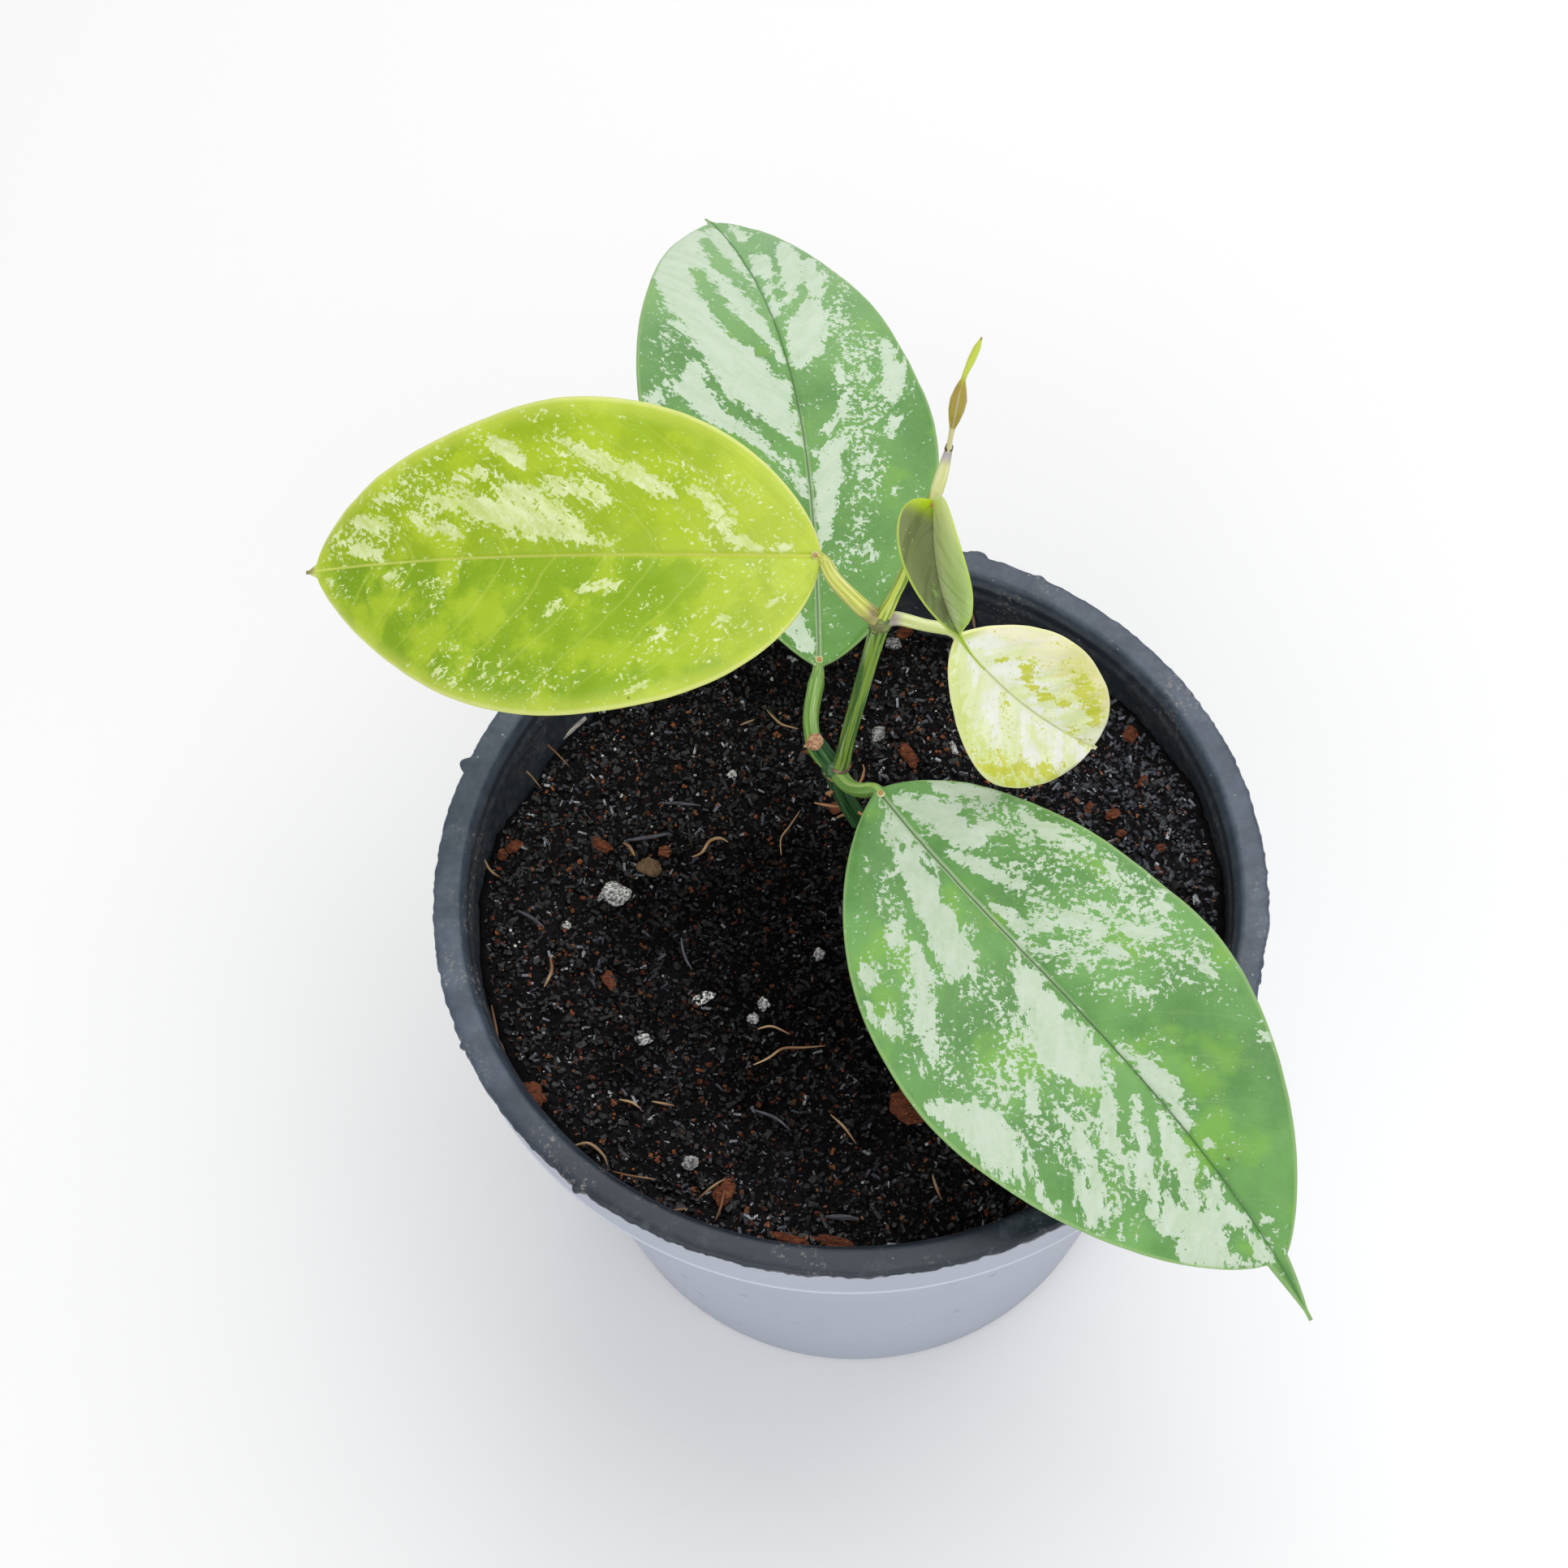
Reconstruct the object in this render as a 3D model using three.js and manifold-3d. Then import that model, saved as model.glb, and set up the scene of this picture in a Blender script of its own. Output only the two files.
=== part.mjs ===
// A potted Hoya coriacea with splashed leaves: a rooted cutting in a round nursery pot.
// Millimetres, +Z up. The origin is the middle of the pot's base; the plant is seen from -Y.
import * as THREE from 'three';
import { mergeVertices } from 'three/addons/utils/BufferGeometryUtils.js';
import Module from 'manifold-3d';

const wasm = await Module();
wasm.setup();

// Clear distance between two pieces that touch.
const GAP = 0.3;
const MERGE_TOLERANCE = 1e-4;
const DEG = Math.PI / 180;

// The pot: a thin tapered wall whose top is folded out into a flat lip with a skirt.
const POT = {
  height: 110,
  baseRadius: 55,
  lipRadius: 75,
  mouthRadius: 70,
  wall: 1.2,
  floor: 1.6,
  lipThickness: 2.8,
  skirtHeight: 13,
  skirtDraft: 1.5,
  edge: 0.6,
  segments: 72,
  drains: 8,
  drainRadius: 4.5,
  drainCircle: 44,
};

// Flash left on the lip's outer edge by the mould: direction in degrees, length along, stand-off.
const FLASH = [
  { at: 160, along: 3.2, out: 1.5 },
  { at: 69, along: 4.2, out: 0.9 },
  { at: 59, along: 2.2, out: 0.6 },
  { at: 231, along: 1.6, out: 0.7 },
  { at: 205, along: 1.4, out: 0.6 },
  { at: 318, along: 1.8, out: 0.6 },
];

// The potting mix: its top is level at the front, sinks to the back and is banked at the left.
const MIX = {
  level: 97.6,
  backSink: 5.2,
  rightSink: 2.2,
  bank: 1.4,
  crumb: 0.75,
  rings: 16,
};

// Crumbs that stand out of the mix: counts and sizes by kind.
const PERLITE = [
  { x: -43.4, y: 2.6, size: 2.7 },
  { x: -16, y: -19.5, size: 1.9 },
  { x: -6, y: -9.5, size: 1.6 },
  { x: -27.5, y: -45, size: 1.7 },
  { x: 5.5, y: 31.5, size: 1.6 },
  { x: 9.8, y: 50.5, size: 1.5 },
];
const BARK = { count: 26, long: 1.9, thick: 0.9 };
const HUSK = { count: 24, long: 2.1, thick: 0.55 };

// Stem nodes, where leaves join.
const NODE_LOW = [-2, 17.5, 118];
const NODE_MID = [6.5, 17.4, 165];
const NODE_TOP = [16.4, 14, 213.4];

// The rooted cutting: a short old stem with its roots, a knob at the node and a cut stub above it.
const CUTTING = {
  path: [[5.5, 20.5, 62], [3.6, 19.6, 80], [1.9, 18.7, 97], [-0.7, 18.4, 107], NODE_LOW],
  foot: 1.9,
  neck: 1.55,
  knob: 2.45,
  stubEnd: [-5.3, 19.8, 124],
  stubRadius: 1.4,
};
const ROOTS = [
  [[4.6, 20, 72], [-6, 14, 66], [-16, 12, 52], [-19, 8, 38]],
  [[4.8, 20, 69], [14, 28, 60], [20, 30, 45], [19, 36, 30]],
  [[5.2, 20.3, 65], [4, 8, 54], [8, -4, 42], [7, -8, 28]],
  [[5.5, 20.5, 63], [2, 26, 48], [6, 24, 32], [3, 28, 16]],
];
const ROOT_RADIUS = [1.1, 0.9, 0.7, 0.45];
const AIR_ROOTS = [
  [[-0.9, 17.4, 112.4], [2.2, 17.3, 112.4], [3.7, 20.2, 114.2]],
  [[-1.2, 18.2, 110.6], [-3.4, 17.6, 109.4], [-3.2, 18.6, 106.4]],
  [[0.2, 18.4, 104.5], [3.0, 17.2, 102.6], [4.4, 18.6, 100.6]],
];
const AIR_ROOT_RADIUS = 0.38;

// The side shoot that grew from the cutting's axil.
const SHOOT = {
  path: [[-1.2, 17.1, 118.6], [0.9, 17.2, 131], [3.9, 17.6, 149], NODE_MID, [10.6, 17.6, 179], [14.4, 16.2, 199],
    NODE_TOP],
  radii: [1.75, 1.5, 1.45, 1.3, 1.05, 0.95, 0.9],
  midKnob: 2.15,
  topKnob: 1.3,
};

// Leaves. Angles in degrees, sizes in mm. Along the midrib, s runs from 0 at the base to 1 at the tip:
// heading = heading + turn*s + swing*s*s, pitch = pitch + droop*s, roll = roll + twist*s.
// left and right are the half widths. Each side's edge is s^near * (1 - s)^far, scaled to them, and a belly
// fills it out before the middle.
const LEAF_REAR = {
  base: [-4.4, 38.3, 120], length: 123.1, left: 32, right: 25.7,
  heading: 89.5, turn: 7.3, swing: 22.4, pitch: 11.2, droop: -27.9, roll: 11.5, twist: 3.6, fold: 6,
  leftNear: 0.78, leftFar: 0.74, leftBelly: 0.033, rightNear: 0.71, rightFar: 0.76, rightBelly: 0.05,
  tail: 0.03, tailHalf: 1, thick: 1.3, wave: 0.5, waves: 3.5,
  petiole: [NODE_LOW, [-5.6, 22.6, 118.6], [-5.9, 29.5, 119.2], [-4.4, 37.6, 119.6]], petioleRadius: 1.35,
};
const LEAF_FRONT = {
  base: [5.6, 10.3, 122], length: 117.6, left: 26.7, right: 33.8,
  heading: -59, turn: 37.3, swing: -43.9, pitch: 3.7, droop: -17, roll: 0.8, twist: 2.9, fold: 8,
  leftNear: 0.66, leftFar: 0.88, leftBelly: -0.087, rightNear: 0.83, rightFar: 0.74, rightBelly: 0.024,
  tail: 0.092, tailHalf: 1.8, thick: 1.3, wave: 0.6, waves: 4,
  petiole: [NODE_LOW, [0.4, 13.8, 118.2], [2.8, 11.6, 120], [5.3, 10.8, 121.6]], petioleRadius: 1.35,
};
const LEAF_LEFT = {
  base: [-3, 27.2, 170], length: 96.3, left: 27.4, right: 26.2,
  heading: 176.3, turn: -17, swing: 6.9, pitch: -0.9, droop: -25, roll: -23.4, twist: -11.4, fold: 5,
  leftNear: 0.57, leftFar: 0.75, leftBelly: -0.042, rightNear: 0.64, rightFar: 0.78, rightBelly: 0.021,
  tail: 0.03, tailHalf: 1.2, thick: 1.2, wave: 0.7, waves: 3,
  petiole: [NODE_MID, [4, 18, 167.4], [1.4, 19.9, 169], [-1, 22.4, 170.2], [-2.6, 26.4, 169.8]],
  petioleRadius: 1.25,
};
const LEAF_RIGHT = {
  base: [19.1, 16.1, 162], length: 42.7, left: 14.1, right: 13.2,
  heading: -8.6, turn: 7.5, swing: 0, pitch: -65.5, droop: 24.6, roll: 54.2, twist: 0, fold: 13,
  leftNear: 0.57, leftFar: 0.52, leftBelly: 0.018, rightNear: 0.8, rightFar: 0.66, rightBelly: -0.127,
  tail: 0.03, tailHalf: 0.7, thick: 0.9, wave: 0.3, waves: 2.5,
  petiole: [NODE_MID, [9.3, 17.3, 165.6], [13.5, 16.2, 165.2], [18.2, 16.1, 163.4]], petioleRadius: 1.05,
};
const LEAF_FOLDED = {
  base: [14.2, 9.6, 207], length: 27.3, left: 13.7, right: 10.2,
  heading: -93.2, turn: 8.3, swing: 43.9, pitch: -15.9, droop: -7.6, roll: 13.4, twist: 0, fold: 68,
  leftNear: 0.53, leftFar: 0.43, leftBelly: 0, rightNear: 0.51, rightFar: 0.69, rightBelly: 0,
  tail: 0.236, tailHalf: 0.8, thick: 0.75, wave: 0, waves: 0,
  petiole: [NODE_TOP, [15.4, 12, 210.4], [14.4, 10.2, 207.4]], petioleRadius: 0.8,
};
const BUD_OUTER = {
  base: [16.8, 13.2, 216.4], length: 22.5, left: 1.9, right: 1.9,
  heading: 20, turn: 0, swing: 0, pitch: 84, droop: -9, roll: -90, twist: 0, fold: 20,
  leftNear: 0.8, leftFar: 1.9, leftBelly: 0, rightNear: 0.8, rightFar: 1.9, rightBelly: 0,
  tail: 0.25, tailHalf: 0.6, thick: 0.9, wave: 0, waves: 0,
  petiole: [[16.4, 13.4, 213.6], [16.6, 13.3, 215], [16.8, 13.2, 216.2]], petioleRadius: 0.6,
};
const BUD_INNER = {
  base: [16.9, 15.6, 216.2], length: 11, left: 1.5, right: 1.5,
  heading: 200, turn: 0, swing: 0, pitch: 86, droop: 10, roll: -90, twist: 0, fold: 15,
  leftNear: 0.8, leftFar: 1.5, leftBelly: 0, rightNear: 0.8, rightFar: 1.5, rightBelly: 0,
  tail: 0.2, tailHalf: 0.5, thick: 0.8, wave: 0, waves: 0,
  petiole: [[16.5, 15.2, 213.6], [16.7, 15.4, 215], [16.9, 15.6, 216]], petioleRadius: 0.55,
};

// Mesh fineness.
const TUBE_SIDES = 8;
const BLADE_ACROSS = 3;
const BASE_HALF = 0.9;
const TIP_HALF = 0.35;
const THIN_EDGE = 0.3;
const SLIM = 0.6;

function seeded(seed) {
  let state = seed;
  return () => {
    state = (state * 1664525 + 1013904223) % 4294967296;
    return state / 4294967296;
  };
}

function smoothstep(low, high, value) {
  const t = Math.min(Math.max((value - low) / (high - low), 0), 1);
  return t * t * (3 - 2 * t);
}

function indexed(points, triangles) {
  const geometry = new THREE.BufferGeometry();
  geometry.setAttribute('position', new THREE.Float32BufferAttribute(points.flatMap((p) => [p.x, p.y, p.z]), 3));
  geometry.setIndex(triangles.flat());
  return geometry;
}

// The body of a geometry, turned the right way out if its triangles wind inwards.
function solid(geometry) {
  const bare = geometry.clone();
  bare.deleteAttribute('normal');
  bare.deleteAttribute('uv');
  const merged = mergeVertices(bare, MERGE_TOLERANCE);
  const triVerts = Uint32Array.from(merged.index.array);
  const position = merged.attributes.position;
  const [a, b, c] = [new THREE.Vector3(), new THREE.Vector3(), new THREE.Vector3()];
  let volume = 0;
  for (let i = 0; i < triVerts.length; i += 3) {
    a.fromBufferAttribute(position, triVerts[i]);
    b.fromBufferAttribute(position, triVerts[i + 1]);
    c.fromBufferAttribute(position, triVerts[i + 2]);
    volume += a.dot(b.cross(c));
  }
  if (volume < 0) triVerts.reverse();
  return new wasm.Manifold(new wasm.Mesh({ numProp: 3, vertProperties: position.array, triVerts }));
}

function fuse(bodies) {
  return bodies.reduce((whole, body) => whole.add(body));
}

// The biggest body, without the loose scraps that a cut leaves.
function largest(body) {
  return body.decompose().reduce((kept, piece) => (piece.volume() > kept.volume() ? piece : kept));
}

// A closed skin over rings of points that all have the same count, with a fan at each end.
function skin(rings) {
  const count = rings[0].length;
  const points = rings.flat();
  const triangles = [];
  for (let i = 0; i + 1 < rings.length; i += 1) {
    for (let j = 0; j < count; j += 1) {
      const k = (j + 1) % count;
      const [p, q, r, s] = [i * count + j, i * count + k, (i + 1) * count + k, (i + 1) * count + j];
      triangles.push([p, q, r], [p, r, s]);
    }
  }
  const last = (rings.length - 1) * count;
  for (let j = 1; j + 1 < count; j += 1) {
    triangles.push([0, j + 1, j], [last, last + j, last + j + 1]);
  }
  return indexed(points, triangles);
}

// A round tube along a smooth curve through the points, its radius running through the radii.
function tube(points, radii, grow = 0, sides = TUBE_SIDES, stepsPerSpan = 2) {
  const curve = new THREE.CatmullRomCurve3(points.map((p) => new THREE.Vector3(...p)), false, 'centripetal');
  const steps = (points.length - 1) * stepsPerSpan;
  const frames = curve.computeFrenetFrames(steps, false);
  const rings = [];
  for (let i = 0; i <= steps; i += 1) {
    const centre = curve.getPointAt(i / steps);
    const place = (i / steps) * (radii.length - 1);
    const low = Math.min(Math.floor(place), radii.length - 2);
    const radius = THREE.MathUtils.lerp(radii[low], radii[low + 1], place - low) + grow;
    rings.push(Array.from({ length: sides }, (_, j) => {
      const turn = (2 * Math.PI * j) / sides;
      return centre.clone()
        .addScaledVector(frames.normals[i], radius * Math.cos(turn))
        .addScaledVector(frames.binormals[i], radius * Math.sin(turn));
    }));
  }
  return solid(skin(rings));
}

function ball(centre, radius) {
  return solid(new THREE.SphereGeometry(radius, 12, 8).translate(...centre));
}

function potBody() {
  const { height, baseRadius, lipRadius, mouthRadius, wall, floor, lipThickness, skirtHeight, skirtDraft, edge } = POT;
  const lipUnder = height - lipThickness;
  const inner = (z) => baseRadius - wall + (mouthRadius - baseRadius + wall) * (z / height);
  const skirtFoot = height - skirtHeight;
  const profile = [
    [0, 0],
    [baseRadius - edge, 0],
    [baseRadius, edge],
    [inner(lipUnder) + wall, lipUnder],
    [lipRadius - wall, lipUnder],
    [lipRadius - wall - skirtDraft, skirtFoot],
    [lipRadius - skirtDraft, skirtFoot],
    [lipRadius, height - edge],
    [lipRadius - edge, height],
    [mouthRadius + edge, height],
    [mouthRadius, height - edge],
    [inner(floor), floor],
    [0, floor],
  ];
  const lathe = new THREE.LatheGeometry(profile.map(([r, z]) => new THREE.Vector2(r, z)), POT.segments);
  let body = solid(lathe.rotateX(Math.PI / 2));
  for (let i = 0; i < POT.drains; i += 1) {
    const turn = (2 * Math.PI * (i + 0.5)) / POT.drains;
    const drill = new THREE.CylinderGeometry(POT.drainRadius, POT.drainRadius, 4 * floor, 12)
      .rotateX(Math.PI / 2)
      .translate(POT.drainCircle * Math.cos(turn), POT.drainCircle * Math.sin(turn), floor / 2);
    body = body.subtract(solid(drill));
  }
  const nibs = FLASH.map(({ at, along, out }) => {
    const nib = new THREE.SphereGeometry(1, 8, 6).scale(out + 1.2, along / 2, 0.8);
    return solid(nib.translate(lipRadius - 1.2, 0, height - 1.1).rotateZ(at * DEG));
  });
  return fuse([body, ...nibs]);
}

// Height of the mix's top.
function mixTop(x, y) {
  const back = POT.mouthRadius * 0.9;
  const sink = MIX.backSink * smoothstep(-5, back, y) + MIX.rightSink * smoothstep(-20, back, x);
  const bank = MIX.bank * smoothstep(25, 60, -x) * smoothstep(-12, 12, 8 - y);
  const heave = 0.6 * Math.sin(0.21 * x + 1.1 * Math.sin(0.13 * y)) + 0.5 * Math.sin(0.34 * y + 0.9 + 0.1 * x);
  return MIX.level - sink + bank + heave;
}

// A crumb pressed into the mix's top, turned by the draws it is given.
function crumb(shape, x, y, long, thick, random) {
  shape.scale(long, thick * 1.3, thick);
  shape.rotateX(random() * Math.PI);
  shape.rotateY((random() - 0.5) * 0.9);
  shape.rotateZ(random() * 2 * Math.PI);
  return solid(shape.translate(x, y, mixTop(x, y) + thick * 0.1));
}

// The roots and the buried stem, grown by the gap where they are cut out of the mix.
function underground(grow) {
  const stem = tube(CUTTING.path, [CUTTING.foot, CUTTING.foot, CUTTING.foot, CUTTING.neck], grow);
  const roots = ROOTS.map((path) => tube(path, ROOT_RADIUS, grow, 6));
  return fuse([stem, ...roots]);
}

function mixBody() {
  const random = seeded(11);
  const wallAt = (z) => POT.baseRadius - POT.wall + (POT.mouthRadius - POT.baseRadius + POT.wall) * (z / POT.height);
  const bottom = POT.floor + GAP;
  const points = [new THREE.Vector3(0, 0, mixTop(0, 0))];
  for (let ring = 1; ring <= MIX.rings; ring += 1) {
    for (let j = 0; j < POT.segments; j += 1) {
      const turn = (2 * Math.PI * j) / POT.segments;
      const edgeRing = ring === MIX.rings;
      const reach = wallAt(MIX.level - MIX.backSink - MIX.rightSink) - 2 * GAP - 1;
      const radius = edgeRing ? reach : (reach * (ring + 0.5 * (random() - 0.5))) / MIX.rings;
      const x = radius * Math.cos(turn);
      const y = radius * Math.sin(turn);
      const z = mixTop(x, y) + MIX.crumb * Math.min(ring / 6, 1) * (2 * random() - 1);
      const spread = edgeRing ? (wallAt(z) - GAP) / radius : 1;
      points.push(new THREE.Vector3(x * spread, y * spread, z));
    }
  }
  for (let j = 0; j < POT.segments; j += 1) {
    const turn = (2 * Math.PI * j) / POT.segments;
    const radius = wallAt(bottom) - GAP;
    points.push(new THREE.Vector3(radius * Math.cos(turn), radius * Math.sin(turn), bottom));
  }
  points.push(new THREE.Vector3(0, 0, bottom));
  const triangles = [];
  for (let j = 0; j < POT.segments; j += 1) {
    const k = (j + 1) % POT.segments;
    triangles.push([0, 1 + j, 1 + k]);
    for (let ring = 0; ring < MIX.rings; ring += 1) {
      const [inner, outer] = [1 + ring * POT.segments, 1 + (ring + 1) * POT.segments];
      triangles.push([inner + j, outer + j, outer + k], [inner + j, outer + k, inner + k]);
    }
    triangles.push([points.length - 1, points.length - 1 - POT.segments + k, points.length - 1 - POT.segments + j]);
  }
  const crumbs = PERLITE.map(({ x, y, size }) => crumb(new THREE.IcosahedronGeometry(1, 0), x, y, size, size, random));
  for (const { count, long, thick } of [BARK, HUSK]) {
    for (let i = 0; i < count; i += 1) {
      const turn = 2 * Math.PI * random();
      const radius = (POT.mouthRadius - 6) * Math.sqrt(random());
      const size = 0.7 + 0.6 * random();
      const [x, y] = [radius * Math.cos(turn), radius * Math.sin(turn)];
      if (Math.hypot(x - CUTTING.path[2][0], y - CUTTING.path[2][1]) < 6) continue;
      crumbs.push(crumb(new THREE.OctahedronGeometry(1, 0), x, y, long * size, thick * size, random));
    }
  }
  return largest(fuse([solid(indexed(points, triangles)), ...crumbs]).subtract(underground(GAP)));
}

function cuttingBody(grow = 0) {
  const { knob, stubEnd, stubRadius } = CUTTING;
  const middle = NODE_LOW.map((value, axis) => (value + stubEnd[axis]) / 2);
  const stub = tube([NODE_LOW, middle, stubEnd], [stubRadius + 0.3, stubRadius, stubRadius], grow);
  const airRoots = AIR_ROOTS.map((path) => tube(path, [AIR_ROOT_RADIUS, AIR_ROOT_RADIUS], grow, 5));
  return fuse([underground(grow), ball(NODE_LOW, knob + grow), stub, ...airRoots]);
}

function shootBody(grow = 0) {
  const stem = tube(SHOOT.path, SHOOT.radii, grow);
  return fuse([stem, ball(NODE_MID, SHOOT.midKnob + grow), ball(NODE_TOP, SHOOT.topKnob + grow)]);
}

// Half width of one side of a blade at s, with the drip tip that tails off it.
function halfWidth(leaf, s, hand) {
  const half = leaf[hand];
  const near = leaf[`${hand}Near`];
  const far = leaf[`${hand}Far`];
  const body = Math.min(s / (1 - leaf.tail), 1);
  const peak = near / (near + far);
  const belly = leaf[`${hand}Belly`] * Math.sin(2 * Math.PI * body) * Math.sqrt(4 * body * (1 - body));
  const edge = half * ((body / peak) ** near * ((1 - body) / (1 - peak)) ** far + belly);
  const drip = leaf.tailHalf * Math.min((1 - s) / leaf.tail, 1) * smoothstep(0.7, 1 - leaf.tail, s);
  const least = s < 0.5 ? BASE_HALF : TIP_HALF;
  return Math.max(edge + drip, Math.min(least, half));
}

// Stations along the midrib, each with its frame and half widths, closer together at both ends.
function stations(leaf, count) {
  const fine = 240;
  const at = new THREE.Vector3(...leaf.base);
  const list = [];
  let next = 0;
  for (let i = 0; i <= fine; i += 1) {
    const s = i / fine;
    const heading = (leaf.heading + leaf.turn * s + leaf.swing * s * s) * DEG;
    const pitch = (leaf.pitch + leaf.droop * s) * DEG;
    const roll = (leaf.roll + leaf.twist * s) * DEG;
    const along = new THREE.Vector3(
      Math.cos(pitch) * Math.cos(heading), Math.cos(pitch) * Math.sin(heading), Math.sin(pitch));
    const level = new THREE.Vector3(-Math.sin(heading), Math.cos(heading), 0);
    const side = level.applyAxisAngle(along, roll);
    const up = along.clone().cross(side);
    const wanted = (1 - Math.cos((Math.PI * next) / count)) / 2;
    if (s >= wanted - 1e-9) {
      list.push({
        s,
        at: at.clone(),
        side: side.clone(),
        up,
        left: halfWidth(leaf, s, 'left'),
        right: halfWidth(leaf, s, 'right'),
      });
      next += 1;
    }
    at.addScaledVector(along, leaf.length / fine);
  }
  return list;
}

// A blade: one grid of points above and one below, with the same triangles on both faces.
function bladeBody(leaf, count) {
  const rows = stations(leaf, count);
  const wide = 2 * BLADE_ACROSS + 1;
  const fold = leaf.fold * DEG;
  const [top, under] = [[], []];
  for (const { s, at, side, up, left, right } of rows) {
    const stout = Math.min(leaf.thick, SLIM * (left + right));
    for (let j = -BLADE_ACROSS; j <= BLADE_ACROSS; j += 1) {
      const u = j / BLADE_ACROSS;
      const hand = Math.sign(u);
      const reach = (hand < 0 ? right : left) * Math.abs(u);
      const wave = leaf.wave * u * u * Math.sin(2 * Math.PI * leaf.waves * s + hand) * Math.sin(Math.PI * s);
      const middle = at.clone()
        .addScaledVector(side, hand * reach * Math.cos(fold))
        .addScaledVector(up, reach * Math.sin(fold) + wave);
      const facing = up.clone().multiplyScalar(Math.cos(fold)).addScaledVector(side, -hand * Math.sin(fold));
      if (hand === 0) facing.copy(up);
      const thick = stout * (1 - THIN_EDGE * u * u);
      top.push(middle.clone().addScaledVector(facing, thick / 2));
      under.push(middle.clone().addScaledVector(facing, -thick / 2));
    }
  }
  const lower = top.length;
  const triangles = [];
  for (let i = 0; i + 1 < rows.length; i += 1) {
    for (let j = 0; j + 1 < wide; j += 1) {
      const [p, q] = [i * wide + j, i * wide + j + 1];
      const [r, s] = [p + wide, q + wide];
      triangles.push([p, q, s], [p, s, r]);
      triangles.push([lower + p, lower + s, lower + q], [lower + p, lower + r, lower + s]);
    }
    for (const j of [0, wide - 1]) {
      const [p, r] = [i * wide + j, (i + 1) * wide + j];
      const wall = [[p, r, lower + r], [p, lower + r, lower + p]];
      triangles.push(...(j === 0 ? wall : wall.map(([a, b, c]) => [a, c, b])));
    }
  }
  for (let j = 0; j + 1 < wide; j += 1) {
    const [near, far] = [j, (rows.length - 1) * wide + j];
    triangles.push([near, lower + near, lower + near + 1], [near, lower + near + 1, near + 1]);
    triangles.push([far, far + 1, lower + far + 1], [far, lower + far + 1, lower + far]);
  }
  return solid(indexed([...top, ...under], triangles));
}

// A leaf: the blade with its stalk, which runs on under it as the midrib.
function leafBody(leaf, count, ribbed = true) {
  const blade = bladeBody(leaf, count);
  const rows = stations(leaf, count);
  const radius = leaf.petioleRadius;
  const places = ribbed ? [0.12, 0.3, 0.5, 0.7] : [0.25];
  const rib = places.map((place) => {
    const { at, up } = rows[Math.round(place * (rows.length - 1))];
    return at.clone().addScaledVector(up, -leaf.thick / 2).toArray();
  });
  const radii = [1.1, ...leaf.petiole.slice(1).map(() => 1), ...places.map((place) => 0.9 - 0.75 * place)];
  return fuse([blade, tube([...leaf.petiole, ...rib], radii.map((share) => share * radius))]);
}

const shoot = largest(shootBody().subtract(cuttingBody(GAP)));
const stems = fuse([cuttingBody(GAP), shootBody(GAP)]);

// A leaf with the gap cut between its stalk and the stems.
function joined(body) {
  return largest(body.subtract(stems));
}

const object = new THREE.Group();

function addPart(name, body, color, roughness) {
  const mesh = body.getMesh();
  const geometry = new THREE.BufferGeometry();
  geometry.setAttribute('position', new THREE.Float32BufferAttribute(mesh.vertProperties, 3));
  geometry.setIndex(Array.from(mesh.triVerts));
  geometry.computeVertexNormals();
  const part = new THREE.Mesh(geometry, new THREE.MeshStandardMaterial({ color, roughness, metalness: 0 }));
  part.name = name;
  object.add(part);
}

addPart('pot', potBody(), 0x8f95a6, 0.5);
addPart('potting_mix', mixBody(), 0x14110f, 0.95);
addPart('stem_cutting', cuttingBody(), 0x3f6b3a, 0.5);
addPart('side_shoot', shoot, 0x6c9440, 0.45);
addPart('leaf_rear', joined(leafBody(LEAF_REAR, 22)), 0x5fa555, 0.4);
addPart('leaf_front', joined(leafBody(LEAF_FRONT, 24)), 0x5fa555, 0.4);
addPart('leaf_left', joined(leafBody(LEAF_LEFT, 20)), 0xa5c814, 0.4);
addPart('leaf_right', joined(leafBody(LEAF_RIGHT, 16)), 0xe6ee9c, 0.4);
addPart('leaf_folded', joined(leafBody(LEAF_FOLDED, 14, false)), 0x7f9a4c, 0.4);
addPart('bud_leaf_outer', joined(leafBody(BUD_OUTER, 10, false)), 0x7a7030, 0.5);
addPart('bud_leaf_inner', joined(leafBody(BUD_INNER, 8, false)), 0x8f8a3a, 0.5);

export default object;
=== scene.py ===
import math

import bpy
import numpy as np
from mathutils import Matrix, Vector, noise


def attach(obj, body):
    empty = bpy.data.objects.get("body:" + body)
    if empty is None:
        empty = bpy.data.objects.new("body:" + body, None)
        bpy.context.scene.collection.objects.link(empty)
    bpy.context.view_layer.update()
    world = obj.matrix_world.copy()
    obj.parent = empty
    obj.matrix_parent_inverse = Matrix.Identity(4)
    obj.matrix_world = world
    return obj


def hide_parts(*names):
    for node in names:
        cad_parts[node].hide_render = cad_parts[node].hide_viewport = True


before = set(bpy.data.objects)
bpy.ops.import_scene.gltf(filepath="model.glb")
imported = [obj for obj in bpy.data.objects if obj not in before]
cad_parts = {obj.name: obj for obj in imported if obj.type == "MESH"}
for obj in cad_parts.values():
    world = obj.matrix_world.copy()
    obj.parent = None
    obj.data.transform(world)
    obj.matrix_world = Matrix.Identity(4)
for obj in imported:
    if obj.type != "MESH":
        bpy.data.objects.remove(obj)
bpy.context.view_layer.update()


# The pot's outer skin. A thin nursery pot moulded in two colours at once: this is the pale lavender grey
# outer layer, with the skirt that hangs from under the lip and the flat base with its ring of drain holes.
MM = 0.001
POT_HEIGHT = 110
SKIN_SEGMENTS = 360
DRAIN_HOLES = 8
DRAIN_CIRCLE = 44
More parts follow.
